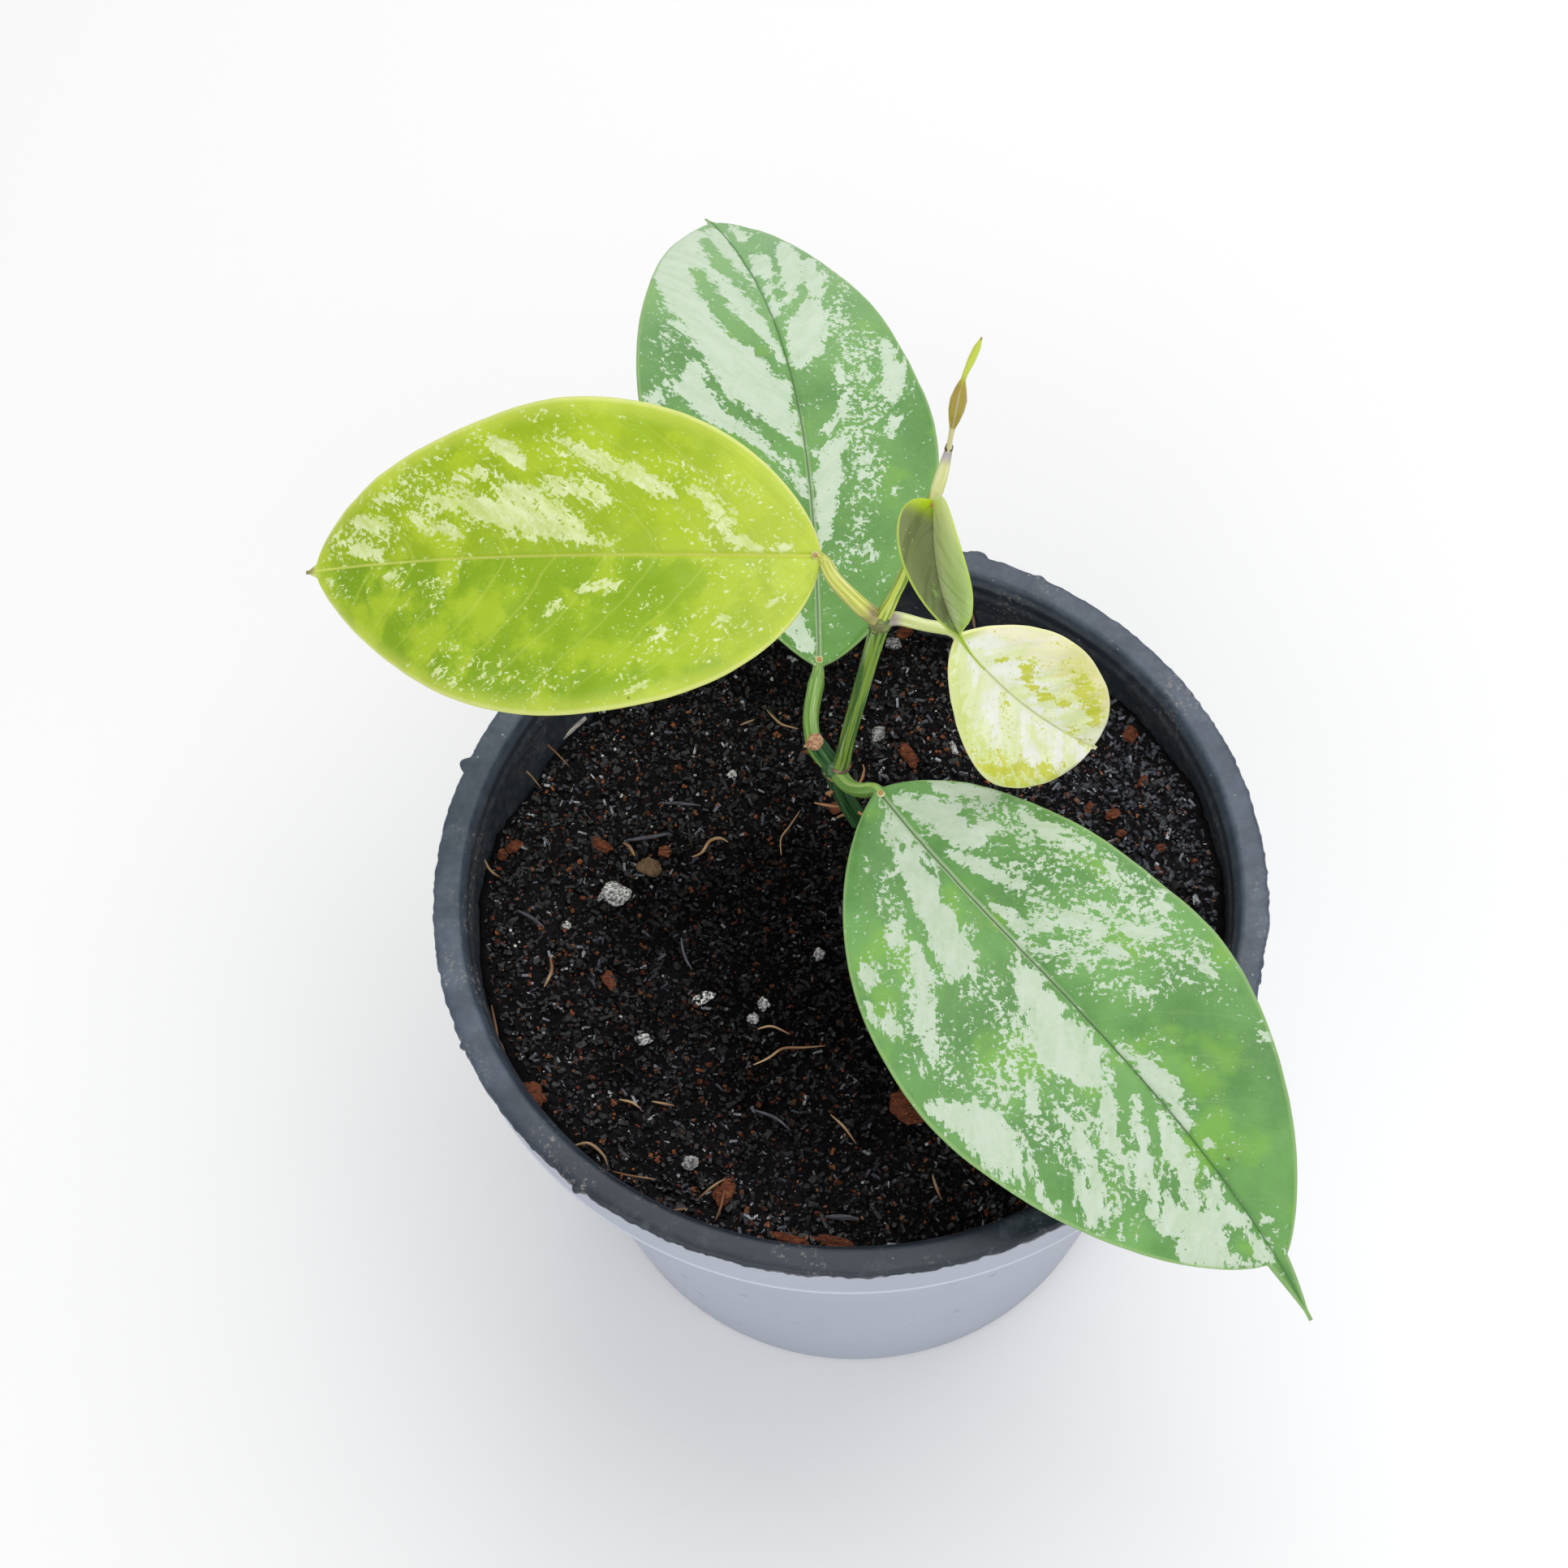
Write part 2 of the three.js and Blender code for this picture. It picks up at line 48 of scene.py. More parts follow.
DRAIN_RADIUS = 4.5


def tint(tone):
    """A colour judged from 0 to 255, as the light it reflects."""
    return tuple(((c / 255 + 0.055) / 1.055) ** 2.4 if c > 10 else c / 3294.6 for c in tone) + (1,)


def loft(rings):
    """Points and faces of a closed skin over rings of points; each end closes round its middle."""
    rings = np.asarray(rings, float)
    count, sides = rings.shape[:2]
    points = np.vstack([rings.reshape(-1, 3), rings[0].mean(0), rings[-1].mean(0)])
    here = np.arange(sides)
    after = (here + 1) % sides
    rows = np.arange(count - 1)[:, None] * sides
    quads = np.stack([rows + here, rows + after, rows + sides + after, rows + sides + here], -1)
    quads = quads.reshape(-1, 4)
    last = (count - 1) * sides
    faces = quads.tolist()
    faces += np.stack([np.full(sides, len(points) - 2), after, here], -1).tolist()
    faces += np.stack([np.full(sides, len(points) - 1), last + here, last + after], -1).tolist()
    first, second, third, fourth = (points[quads[:, n]] - points.mean(0) for n in range(4))
    volume = (first * np.cross(second, third)).sum() + (first * np.cross(third, fourth)).sum()
    if volume < 0:
        faces = [face[::-1] for face in faces]
    return points, faces


def gather(skins):
    """Several skins as one: points, faces numbered on, and any layer that all of them have."""
    faces, start = [], 0
    for skin in skins:
        faces += [[start + n for n in face] for face in skin[1]]
        start += len(skin[0])
    points, *layers = (np.vstack(parts) for parts in zip(*(skin[:1] + skin[2:] for skin in skins)))
    return points, faces, *layers


def placed(name, data):
    """A new object in the scene."""
    thing = bpy.data.objects.new(name, data)
    bpy.context.scene.collection.objects.link(thing)
    return thing


def shape(name, skin, finish, smooth=True, **layers):
    """A piece from a skin in millimetres, with a value or a vector a point for each named layer.

    A skin is its points, its faces and, where its grain follows its length, the layer that is laid on it."""
    points, faces, *laid = skin
    if laid:
        layers["laid"] = laid[0]
    mesh = bpy.data.meshes.new(name)
    mesh.from_pydata((np.asarray(points) * MM).tolist(), [], faces)
    for layer, values in layers.items():
        values = np.asarray(values, float)
        kind, field = ("FLOAT_VECTOR", "vector") if values.ndim == 2 else ("FLOAT", "value")
        mesh.attributes.new(layer, kind, "POINT").data.foreach_set(field, values.ravel())
    mesh.polygons.foreach_set("use_smooth", [smooth] * len(faces))
    mesh.materials.append(finish.material)
    return placed(name, mesh)


def settle(piece, node):
    """Joins a piece to the frame: it stands for the node, whose imported part it hides."""
    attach(piece, "root")
    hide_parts(node)


def as_made(piece):
    """Works the piece's modifiers into its mesh and drops them."""
    bpy.context.view_layer.update()
    seen = bpy.context.evaluated_depsgraph_get()
    mesh = bpy.data.meshes.new_from_object(piece.evaluated_get(seen), preserve_all_data_layers=True,
                                           depsgraph=seen)
    piece.modifiers.clear()
    piece.data = mesh


def wired(tree, kind, feeds, settings):
    """Adds a node to the tree, sets it up, feeds its inputs and gives back its outputs."""
    node = tree.nodes.new(kind)
    for key, value in settings.items():
        setattr(node, key, value)
    for socket, value in feeds:
        if isinstance(value, bpy.types.NodeSocket):
            tree.links.new(value, node.inputs[socket])
        else:
            node.inputs[socket].default_value = value
    return node.outputs


class Finish:
    """A surface finish being mixed: its tone is built up in layers, and each call adds one step."""

    def __init__(self, name, **shader):
        self.material = bpy.data.materials.new(name)
        self.material.use_nodes = True
        self.tree = self.material.node_tree
        self.shader = self.tree.nodes["Principled BSDF"]
        for socket, value in shader.items():
            self.shader.inputs[socket.replace("_", " ")].default_value = value

    def step(self, kind, *feeds, **settings):
        return wired(self.tree, kind, feeds, settings)

    def give(self, **shader):
        """Hands the tone and the other values to the shader."""
        for socket, value in dict(shader, Base_Color=self.tone).items():
            self.tree.links.new(value, self.shader.inputs[socket.replace("_", " ")])

    def layer(self, name, out="Fac"):
        return self.step("ShaderNodeAttribute", attribute_name=name)[out]

    def where(self, on=None, stretch=None):
        """The place on the piece in millimetres, or in a layer laid on it, divided by the stretch."""
        place = self.layer(on, "Vector") if on else self.step("ShaderNodeTexCoord")["Object"]
        if on and not stretch:
            return place
        unit = 1 if on else 1 / MM
        scale = [unit / part for part in stretch or (1, 1, 1)]
        return self.step("ShaderNodeMapping", ("Vector", place), ("Scale", scale))[0]

    def cloud(self, size, detail=3, rough=0.55, warp=0, **place):
        """Soft blotches about size apart, from 0 to 1."""
        return self.step("ShaderNodeTexNoise", ("Vector", self.where(**place)), ("Scale", 1 / size),
                         ("Detail", detail), ("Roughness", rough), ("Distortion", warp))[0]

    def cells(self, size):
        """Distance from the nearest of spots strewn about size apart."""
        return self.step("ShaderNodeTexVoronoi", ("Vector", self.where()), ("Scale", 1 / size))[0]

    def reckon(self, operation, value, *others):
        """Works the values together, one after the other."""
        for other in others:
            value = self.step("ShaderNodeMath", (0, value), (1, other), operation=operation)[0]
        return value

    def times(self, *values):
        return self.reckon("MULTIPLY", *values)

    def plus(self, *values):
        return self.reckon("ADD", *values)

    def less(self, value, taken):
        return self.reckon("SUBTRACT", value, taken)

    def parts(self, vector):
        """The three parts of a vector."""
        return self.step("ShaderNodeSeparateXYZ", ("Vector", vector))

    def rise(self, value, low, high):
        """0 on low's side, 1 on high's side, smooth between."""
        return self.step("ShaderNodeMapRange", ("Value", value), ("From Min", low), ("From Max", high),
                         interpolation_type="SMOOTHSTEP")[0]

    def span(self, value, low, high):
        """The 0 to 1 value spread from low to high."""
        return self.step("ShaderNodeMapRange", ("Value", value), ("To Min", low), ("To Max", high))[0]

    def over(self, share, under, upper, strength=1):
        """The upper colour laid over the under one by the share, at the strength."""
        under, upper = (tint(tone) if isinstance(tone, tuple) else tone for tone in (under, upper))
        if strength != 1:
            share = self.times(share, strength)
        return self.step("ShaderNodeMix", (0, share), (6, under), (7, upper), data_type="RGBA")[2]

    def lay(self, share, colour, strength=1):
        """Lays a colour over the tone so far."""
        self.tone = self.over(share, self.tone, colour, strength)

    def relief(self, height, deep, normal=None):
        """Fine relief, deep millimetres from height 0 to 1."""
        feeds = [("Height", height), ("Distance", deep * MM), ("Strength", 1)]
        if normal:
            feeds.append(("Normal", normal))
        return self.step("ShaderNodeBump", *feeds)[0]


def wall_radius(z):
    """Outer radius of the pot's wall."""
    return 55 + 15.79 * (z - 0.6) / 106.6


def turns(count):
    """The angles of a count of even steps round a circle."""
    return np.linspace(0, 2 * np.pi, count, endpoint=False)


def turned(profile, count):
    """Rings of points about the pot's axis, one for each (radius, height)."""
    turn = turns(count)
    return np.array([np.c_[r * np.cos(turn), r * np.sin(turn), np.full(count, z)] for r, z in profile])


def drilled(piece, finish):
    """Cuts the drain holes through the piece."""
    drills = []
    for n in range(DRAIN_HOLES):
        turn = 2 * math.pi * (n + 0.5) / DRAIN_HOLES
        post = turned([(DRAIN_RADIUS, -3), (DRAIN_RADIUS, 6)], 32)
        drills.append(loft(post + [DRAIN_CIRCLE * math.cos(turn), DRAIN_CIRCLE * math.sin(turn), 0]))
    drill = shape("drain_drill", gather(drills), finish)
    cut = piece.modifiers.new("drain holes", "BOOLEAN")
    cut.operation = "DIFFERENCE"
    cut.solver = "EXACT"
    cut.object = drill
    as_made(piece)
    bpy.data.objects.remove(drill)
    return piece


skin_profile = [
    (54.4, 0), (54.85, 0.15), (55, 0.6), *((wall_radius(z), z) for z in (12, 30, 50, 70, 85, 95, 102, 106.6)),
    (71, 107.1), (73.7, 107.15), (72.9, 102), (72.35, 97.3), (72.5, 96.9), (73.3, 96.8), (73.8, 96.95),
    (74, 97.4), (73.85, 97.95), (73.8, 98.4), (74.3, 103), (74.88, 108), (74.95, 109), (74.8, 109.2),
    (70.3, 109.2), *((wall_radius(z) - 0.6, z) for z in (107, 80, 50, 20)), (54.3, 0.7)]

pale = Finish("pot_skin", Specular_IOR_Level=0.4)
blotch = pale.cloud(26, 4)
pale.tone = pale.over(blotch, (160, 167, 183), (178, 184, 199))
scuff = pale.cloud(1.6, 5, 0.7, 0.4, stretch=(3, 3, 14))
pale.lay(pale.rise(scuff, 0.6, 0.74), (150, 154, 172), 0.35)
grime = pale.cloud(5.5, 6, 0.65)
pale.lay(pale.rise(grime, 0.62, 0.72), (139, 140, 152), 0.3)
dimple = pale.cells(12)
pale.lay(pale.rise(dimple, 0.11, 0.06), (122, 126, 142), 0.5)
height = pale.parts(pale.where())[2]
# A painted highlight: a pale line along the foot of the skirt, where it catches the light.
skirt_foot_highlight = pale.times(pale.rise(height, 98.3, 97.6), pale.rise(height, 96.6, 96.9))
pale.lay(skirt_foot_highlight, (208, 212, 224), 0.8)
ripple = pale.relief(pale.cloud(4, 2, stretch=(9, 9, 2.5)), 0.12)
pale.give(Roughness=pale.span(blotch, 0.42, 0.6), Normal=pale.relief(pale.cloud(0.7, 4, 0.6), 0.03, ripple))

pot_skin = shape("pot_outer_skin", loft(turned(skin_profile, SKIN_SEGMENTS)), pale)
settle(drilled(pot_skin, pale), "pot")


# The pot's dark lining. The slate black layer that makes the inside of the pot and the whole lip: it is
# folded over the lip's outer edge and ends there in ragged flash, with a few thick nibs left by the mould.
LINING_SEGMENTS = 1080
LIP_RADIUS = 75
FLASH_NIBS = [
    (160, 3.2, 1.5), (69, 4.2, 0.9), (59, 2.2, 0.6), (231, 1.6, 0.7), (205, 1.4, 0.6), (318, 1.8, 0.6)]


def uneven(turn, seed, *waves):
    """A wandering value round the pot, from waves of (knots round it, height)."""
    rng = np.random.default_rng(seed)
    total = np.zeros_like(turn)
    for knots, height in waves:
        total += height * np.interp(turn, turns(knots), rng.uniform(-1, 1, knots), period=2 * np.pi)
    return total


def degrees_from(side, turn):
    """How far round the pot each turn is from a side, from -180 to 180."""
    return (np.degrees(turn) - side + 180) % 360 - 180


def inside_radius(z):
    """Inner radius of the pot's wall."""
    return 53.8 + 16.2 * z / POT_HEIGHT


lip_edge = [(74.3, 109.3), (74.9, 108.95), (75.02, 109), (75.05, 109.45), (74.85, 109.8), (74.4, 109.98)]
lining_profile = [
    (53.9, 0.8), *((wall_radius(z) - 0.66, z) for z in (20, 50, 80, 106.5)), (70.4, 109.3), *lip_edge,
    (73.4, 110), (72.3, 110.02), (71.2, 109.98), (70.6, 109.85), (70.25, 109.5), (70.05, 109), (69.8, 108.2),
    (69.4, 107.9), (69.2, 107.3), (69.22, 106.3), (69.05, 105.7), (68.7, 105.3), (68.6, 104.4),
    *((inside_radius(z) - 0.05, z) for z in (102, 99, 95, 88, 70, 45, 20)), (54.1, 1.75), (53.6, 1.6)]
first_edge = lining_profile.index(lip_edge[0])

turn = turns(LINING_SEGMENTS)
ragged = 0.65 + 0.35 * np.exp(-degrees_from(-20, turn) ** 2 / 900)
burr = 0.12 + uneven(turn, 3, (70, 0.12), (260, 0.2), (640, 0.2)) * ragged
for side, along, out in FLASH_NIBS:
    off = np.radians(degrees_from(side, turn)) * LIP_RADIUS / (along / 2)
    burr += out * np.clip(1 - off ** 2, 0, 1) ** 0.7
droop = uneven(turn, 8, (60, 0.3), (190, 0.4), (560, 0.45))
lining_rings = turned(lining_profile, LINING_SEGMENTS)
lip = lining_rings[first_edge:first_edge + 20]
lip[:6, :, :2] *= (1 + np.outer([0, 0.8, 1, 1, 0.6, 0.25], burr) / LIP_RADIUS)[..., None]
lip[:3, :, 2] += np.minimum(droop - 0.1, 0.3)
lip[5:10, :, 2] += uneven(turn, 5, (14, 0.08), (45, 0.05))
lip[10:, :, :2] *= 1 + uneven(turn, 6, (9, 0.1), (50, 0.05))[:, None] / 70

slate = Finish("pot_lining", Specular_IOR_Level=0.5)
_, forward, height = slate.parts(slate.where())
mottle = slate.cloud(7, 8, 0.68)
slate.tone = slate.over(mottle, (32, 38, 47), (58, 65, 75))
# Painted light and shade on one black plastic: the lip's top is painted lighter than the inside wall, and
# darker again towards the front.
lip_top_painted_light = slate.over(slate.rise(mottle, 0.25, 0.75), (53, 63, 77), (87, 98, 115))
lip_front_painted_shade = slate.over(mottle, (16, 26, 37), (34, 44, 56))
lip_top_painted_light = slate.over(slate.rise(forward, -25, -62), lip_top_painted_light, lip_front_painted_shade, 0.95)
slate.lay(slate.rise(height, 107.4, 109.2), lip_top_painted_light)
smear = slate.rise(slate.cloud(6, 6, 0.7, 0.6, stretch=(1, 1, 2.2)), 0.52, 0.72)
slate.lay(smear, (104, 112, 122), 0.32)
dust = slate.times(slate.rise(slate.cloud(14), 0.5, 0.64), slate.rise(slate.cloud(0.85, 4, 0.7), 0.53, 0.66))
slate.lay(dust, (150, 145, 136), 0.65)
splashed = slate.times(slate.rise(slate.cloud(1.9, 7, 0.75), 0.46, 0.6), slate.rise(height, 107.2, 105))
slate.lay(splashed, (78, 79, 82), 0.55)
speck = slate.times(slate.rise(slate.cells(1.5), 0.16, 0.09), slate.rise(slate.cloud(3.1, 2), 0.62, 0.68))
slate.lay(speck, (196, 196, 190), 0.75)
grain = slate.relief(slate.cloud(0.5, 4, 0.65), 0.035)
slate.give(Roughness=slate.span(smear, 0.42, 0.62),
           Normal=slate.relief(slate.cloud(3, stretch=(1, 1, 0.4)), 0.1, grain))

settle(drilled(shape("pot_dark_lining", loft(lining_rings), slate), slate), "pot")


# The bed of potting mix. Charred husk and coir with a crumbled top: level at the front, sunk behind the
# stem, and banked up against the wall at both sides. It fills the pot down to the drain holes. Its middle,
# under the plant, is darkened with painted shade.
MIX_SPOKES = 300
MIX_RINGS = 130
MIX_REACH = 66.9


def smooth(low, high, value):
    """0 below low, 1 above high, smooth between."""
    t = np.clip((value - low) / (high - low), 0, 1)
    return t * t * (3 - 2 * t)


def mix_top(x, y):
    """Height of the mix's top before it crumbles."""
    right = smooth(28, 58, x)
    sink = 5.2 * smooth(-5, 63, y) * (1 - 0.8 * right) + 1.2 * smooth(-20, 40, x)
    bank = 3 * smooth(30, 62, -x) * smooth(-26, -12, -y) + 4.6 * right * smooth(-70, -34, -y)
    heave = 0.6 * np.sin(0.21 * x + 1.1 * np.sin(0.13 * y)) + 0.5 * np.sin(0.34 * y + 0.9 + 0.1 * x)
    return 97.6 - sink + bank + heave


def crumbled(x, y):
    """Relief of the loose top, in millimetres."""
    spot = Vector((x, y, 0))
    lumps = noise.noise(spot * 0.35) * 0.5 + noise.noise(spot * 0.9) * 0.45
    grains = noise.noise(spot * 2.1, noise_basis="VORONOI_F1") * 0.55
    return lumps + grains - 0.2


def painted_plant_shade(mix):
    """Painted shade under the plant: how dark and dull the mix is painted, most in the middle, in patches,
    less towards the wall.
    """
    flat_place = mix.where(stretch=(1, 1, 1000))
    away = mix.step("ShaderNodeVectorMath", (0, flat_place), (1, (-8, -10, 0)), operation="DISTANCE")
    away = mix.plus(away["Value"], mix.span(mix.cloud(17), -30, 30))
    return mix.span(mix.rise(away, 16, 56), 0.8, 0)


turn = turns(MIX_SPOKES)
mix_rings = []
for n in range(1, MIX_RINGS + 1):
    radius = MIX_REACH * n / MIX_RINGS
    x, y = radius * np.cos(turn), radius * np.sin(turn)
    mix_rings.append(np.c_[x, y, mix_top(x, y) + [crumbled(a, b) for a, b in zip(x, y)]])
x, y, z = mix_rings[-1].T
to_wall = (inside_radius(z) - 0.3) / MIX_REACH
mix_rings.append(np.c_[x * to_wall, y * to_wall, z - 0.5])
mix_rings += [*turned([(inside_radius(z) - 0.4, z) for z in (60, 2.2)], MIX_SPOKES)]

peat = Finish("potting_mix")
clod = peat.cloud(1.3, 6, 0.7)
peat.tone = peat.over(peat.rise(clod, 0.3, 0.75), (5, 5, 7), (28, 27, 31))
rust = peat.cloud(2.3, 5, 0.7)
peat.lay(peat.rise(rust, 0.6, 0.72), (104, 55, 36), 0.5)
glint = peat.cloud(0.9, 4, 0.7, stretch=(0.5, 1.2, 1))
peat.lay(peat.rise(glint, 0.64, 0.74), (110, 116, 128), 0.5)
# Painted shade: the mix is darkened and dulled in the middle, under the plant.
shade_share = painted_plant_shade(peat)
peat.lay(shade_share, (5, 5, 6))
peat.give(Roughness=peat.span(clod, 0.9, 0.5), Specular_IOR_Level=peat.span(shade_share, 0.15, 0.02),
          Normal=peat.relief(peat.cloud(0.7, 6, 0.8), 0.6))

settle(shape("mix_bed", loft(mix_rings), peat), "potting_mix")


# The crumbs of the mix. Loose grains of charred husk, coir slivers, rusty bark crumbs and pale grit lying
# on the bed, each kind strewn over it by itself, most of them small.
TOP_POINTS = MIX_RINGS * MIX_SPOKES + 1
CHIP = ("GeometryNodeMeshCube", ("Size", (1.5, 1.5, 1.5)))
BEAD = ("GeometryNodeMeshIcoSphere", ("Radius", 1.0))
TUMBLED = (6.28, 6.28, 6.28)

points, faces = loft(mix_rings[:MIX_RINGS])
ground = shape("mix_ground", (points[:TOP_POINTS], [f for f in faces if max(f) < TOP_POINTS]), peat)


def strewn(name, finish, slot, grain=CHIP, **sizes):
    """Strews crumbs over the ground and settles the piece that they make."""
    tree = bpy.data.node_groups.new(name, "GeometryNodeTree")

    def socket(label, kind, in_out="INPUT"):
        return tree.interface.new_socket(label, in_out=in_out, socket_type="NodeSocket" + kind)

    def step(kind, *feeds, **settings):
        return wired(tree, kind, feeds, settings)

    socket("Ground", "Geometry")
    socket("Crumbs", "Geometry", "OUTPUT")
    kinds = {"Shape": "Vector", "Lean": "Vector", "Seed": "Int"}
    sockets = {label: socket(label.replace("_", " "), kinds.get(label, "Float")) for label in sizes}
    given = step("NodeGroupInput")
    spots = step("GeometryNodeDistributePointsOnFaces", ("Mesh", given["Ground"]),
                 ("Density", given["Crumbs per square metre"]), ("Seed", given["Seed"]))
    draw = step("FunctionNodeRandomValue", ("Seed", given["Seed"]), data_type="FLOAT")[1]
    small = step("ShaderNodeMath", (0, draw), (1, 2.2), operation="POWER")[0]
    size = step("ShaderNodeMapRange", ("Value", small), ("To Min", given["Smallest"]),
                ("To Max", given["Largest"]))
    scale = step("ShaderNodeVectorMath", (0, given["Shape"]), ("Scale", size[0]), operation="SCALE")
    lean = step("FunctionNodeRandomValue", (0, (0, 0, 0)), (1, given["Lean"]), ("Seed", 5),
                data_type="FLOAT_VECTOR")
    grains = step("GeometryNodeInstanceOnPoints", ("Points", spots["Points"]), ("Instance", step(*grain)[0]),
                  ("Rotation", lean[0]), ("Scale", scale[0]))
    tone = step("FunctionNodeRandomValue", ("Seed", 9), data_type="FLOAT")[1]
    toned = step("GeometryNodeStoreNamedAttribute", ("Geometry", grains[0]), ("Name", "tone"),
                 ("Value", tone), data_type="FLOAT", domain="INSTANCE")
    loose = step("GeometryNodeRealizeInstances", ("Geometry", toned[0]))
    chip = step("ShaderNodeTexNoise", ("Scale", 1400), ("Detail", 1))["Color"]
    chip = step("ShaderNodeVectorMath", (0, chip), (1, (0.5, 0.5, 0.5)), operation="SUBTRACT")[0]
    chip = step("ShaderNodeVectorMath", (0, chip), ("Scale", given["Breakage"]), operation="SCALE")[0]
    broken = step("GeometryNodeSetPosition", ("Geometry", loose[0]), ("Offset", chip))
    dressed = step("GeometryNodeSetMaterial", ("Geometry", broken[0]), ("Material", finish.material))
    step("NodeGroupOutput", (0, dressed[0]))

    piece = placed(name, ground.data.copy())
    strew = piece.modifiers.new("strewn crumbs", "NODES")
    strew.node_group = tree
    for label, value in sizes.items():
        strew[sockets[label].identifier] = value
    as_made(piece)
    settle(piece, "potting_mix")


def crumb_finish(name, tones, shine, rough, charred=1):
    """Each crumb keeps its own tone, picked from the list, with a charred blotch across it and painted shade
    and light.
    """
    crumb = Finish(name)
    crumb.tone = crumb.step("ShaderNodeValToRGB", ("Fac", crumb.layer("tone")))[0]
    stops = crumb.tone.node.color_ramp.elements
    for n in range(1, len(tones) - 1):
        stops.new(n / (len(tones) - 1))
    for stop, tone in zip(stops, tones):
        stop.color = tint(tone)
    blotch = crumb.cloud(0.5)
    crumb.lay(crumb.rise(blotch, 0.62, 0.36), (12, 11, 12), charred)
    # Painted shade: the crumbs are darkened and dulled in the middle, under the plant.
    shade_share = painted_plant_shade(crumb)
    crumb.lay(shade_share, (7, 7, 8))
    # Painted light: towards the right the crumbs are lightened to a bluish grey, in patches.
    aside = crumb.parts(crumb.where())[0]
    dry = crumb.times(crumb.rise(aside, 15, 60), crumb.rise(crumb.cloud(1.6, 4, 0.7), 0.42, 0.62))
    crumb.lay(dry, (104, 110, 124), 0.45)
    crumb.give(Roughness=crumb.span(blotch, rough + 0.15, rough - 0.15),
               Specular_IOR_Level=crumb.span(shade_share, shine, 0.05), Normal=crumb.relief(crumb.cloud(0.25), 0.12))
    return crumb


charred_husk = crumb_finish("charred_husk", [(6, 6, 8), (15, 15, 18), (10, 10, 13), (44, 46, 54)], 0.6, 0.36)
strewn("mix_char_shards", charred_husk, "potting_mix", Crumbs_per_square_metre=897000.0, Smallest=0.0002,
       Largest=0.00075, Shape=(1.7, 0.9, 0.6), Lean=TUMBLED, Breakage=0.0007, Seed=4)

charred = crumb_finish("charred_crumb", [(7, 7, 9), (17, 16, 19), (50, 33, 26), (36, 36, 42)], 0.5, 0.42)
strewn("mix_char_crumbs", charred, "potting_mix", BEAD, Crumbs_per_square_metre=99000.0, Smallest=0.0003,
       Largest=0.0011, Shape=(1.2, 1.0, 0.7), Lean=TUMBLED, Breakage=0.0011, Seed=31)

grey_husk = crumb_finish(
    "grey_husk", [(44, 46, 55), (84, 88, 102), (128, 130, 142), (214, 216, 222)], 0.7, 0.36, 0.5)
strewn("mix_husk_slivers", grey_husk, "husk_sliver", Crumbs_per_square_metre=165000.0, Smallest=0.00014,
       Largest=0.00055, Shape=(2.6, 0.7, 0.5), Lean=(0.6, 0.6, 6.28), Breakage=0.0003, Seed=12)

rusty = crumb_finish(
    "rusty_bark", [(84, 42, 28), (138, 72, 44), (182, 112, 70), (112, 82, 58)], 0.3, 0.75, 0.7)
strewn("mix_bark_crumbs", rusty, "bark_chip", Crumbs_per_square_metre=210000.0, Smallest=0.0001,
       Largest=0.00055, Shape=(1.5, 1.0, 0.7), Lean=TUMBLED, Breakage=0.0006, Seed=21)

grit = crumb_finish("white_grit", [(150, 152, 160), (216, 216, 218), (236, 234, 230)], 0.3, 0.7, 0.2)
strewn("mix_white_grit", grit, "perlite", Crumbs_per_square_metre=36000.0, Smallest=0.0001, Largest=0.00042,
       Shape=(1.2, 1.0, 0.8), Lean=TUMBLED, Breakage=0.0003, Seed=44)
bpy.data.objects.remove(ground)


# Perlite grains, bark chips and the tuft of husk. Bigger bits lying on the mix: rough white perlite, rust red
# bark chips and a tan tuft, each pressed a little way into the bed.
def ball(rows, sides, reach):
    """Rings of a rough ball; reach says how far out it comes in each direction."""
    rings = []
    for n in range(1, rows):
        fall = math.pi * n / rows
        ring = []
        for m in range(sides):
            around = 2 * math.pi * m / sides
            level = math.sin(fall)
            out = Vector((level * math.cos(around), level * math.sin(around), math.cos(fall)))
            ring.append(np.array(out) * reach(out, fall))
        rings.append(ring)
    return np.array(rings)


def nugget(x, y, size, long=1, flat=0.8, turn=0, seed=0, sunk=0.25):
    """A rough lump lying on the mix."""
    def reach(out, fall):
        coarse, middling = out * 1.3 + Vector((seed, 0, 0)), out * 4 + Vector((0, seed, 0))
        return 1 + 0.45 * noise.noise(coarse) + 0.16 * noise.noise(middling) + 0.06 * noise.noise(out * 11)

    points, faces = loft(ball(26, 36, reach) * [long, 1, flat] * size)
    swing = np.array(Matrix.Rotation(math.radians(turn), 3, "Z"))
    return points @ swing.T + [x, y, float(mix_top(x, y)) + size * flat * (1 - 2 * sunk)], faces


def grained(name, dark, light, between, deep, grain, on=None, stretch=None, **shader):
    """A finish in two tones, parted by one grain that also stands in relief."""
    finish = Finish(name, **shader)
    grain = finish.cloud(*grain, on=on, stretch=stretch)
    finish.tone = finish.over(finish.rise(grain, *between), dark, light)
    finish.give(Normal=finish.relief(grain, deep))
    return finish


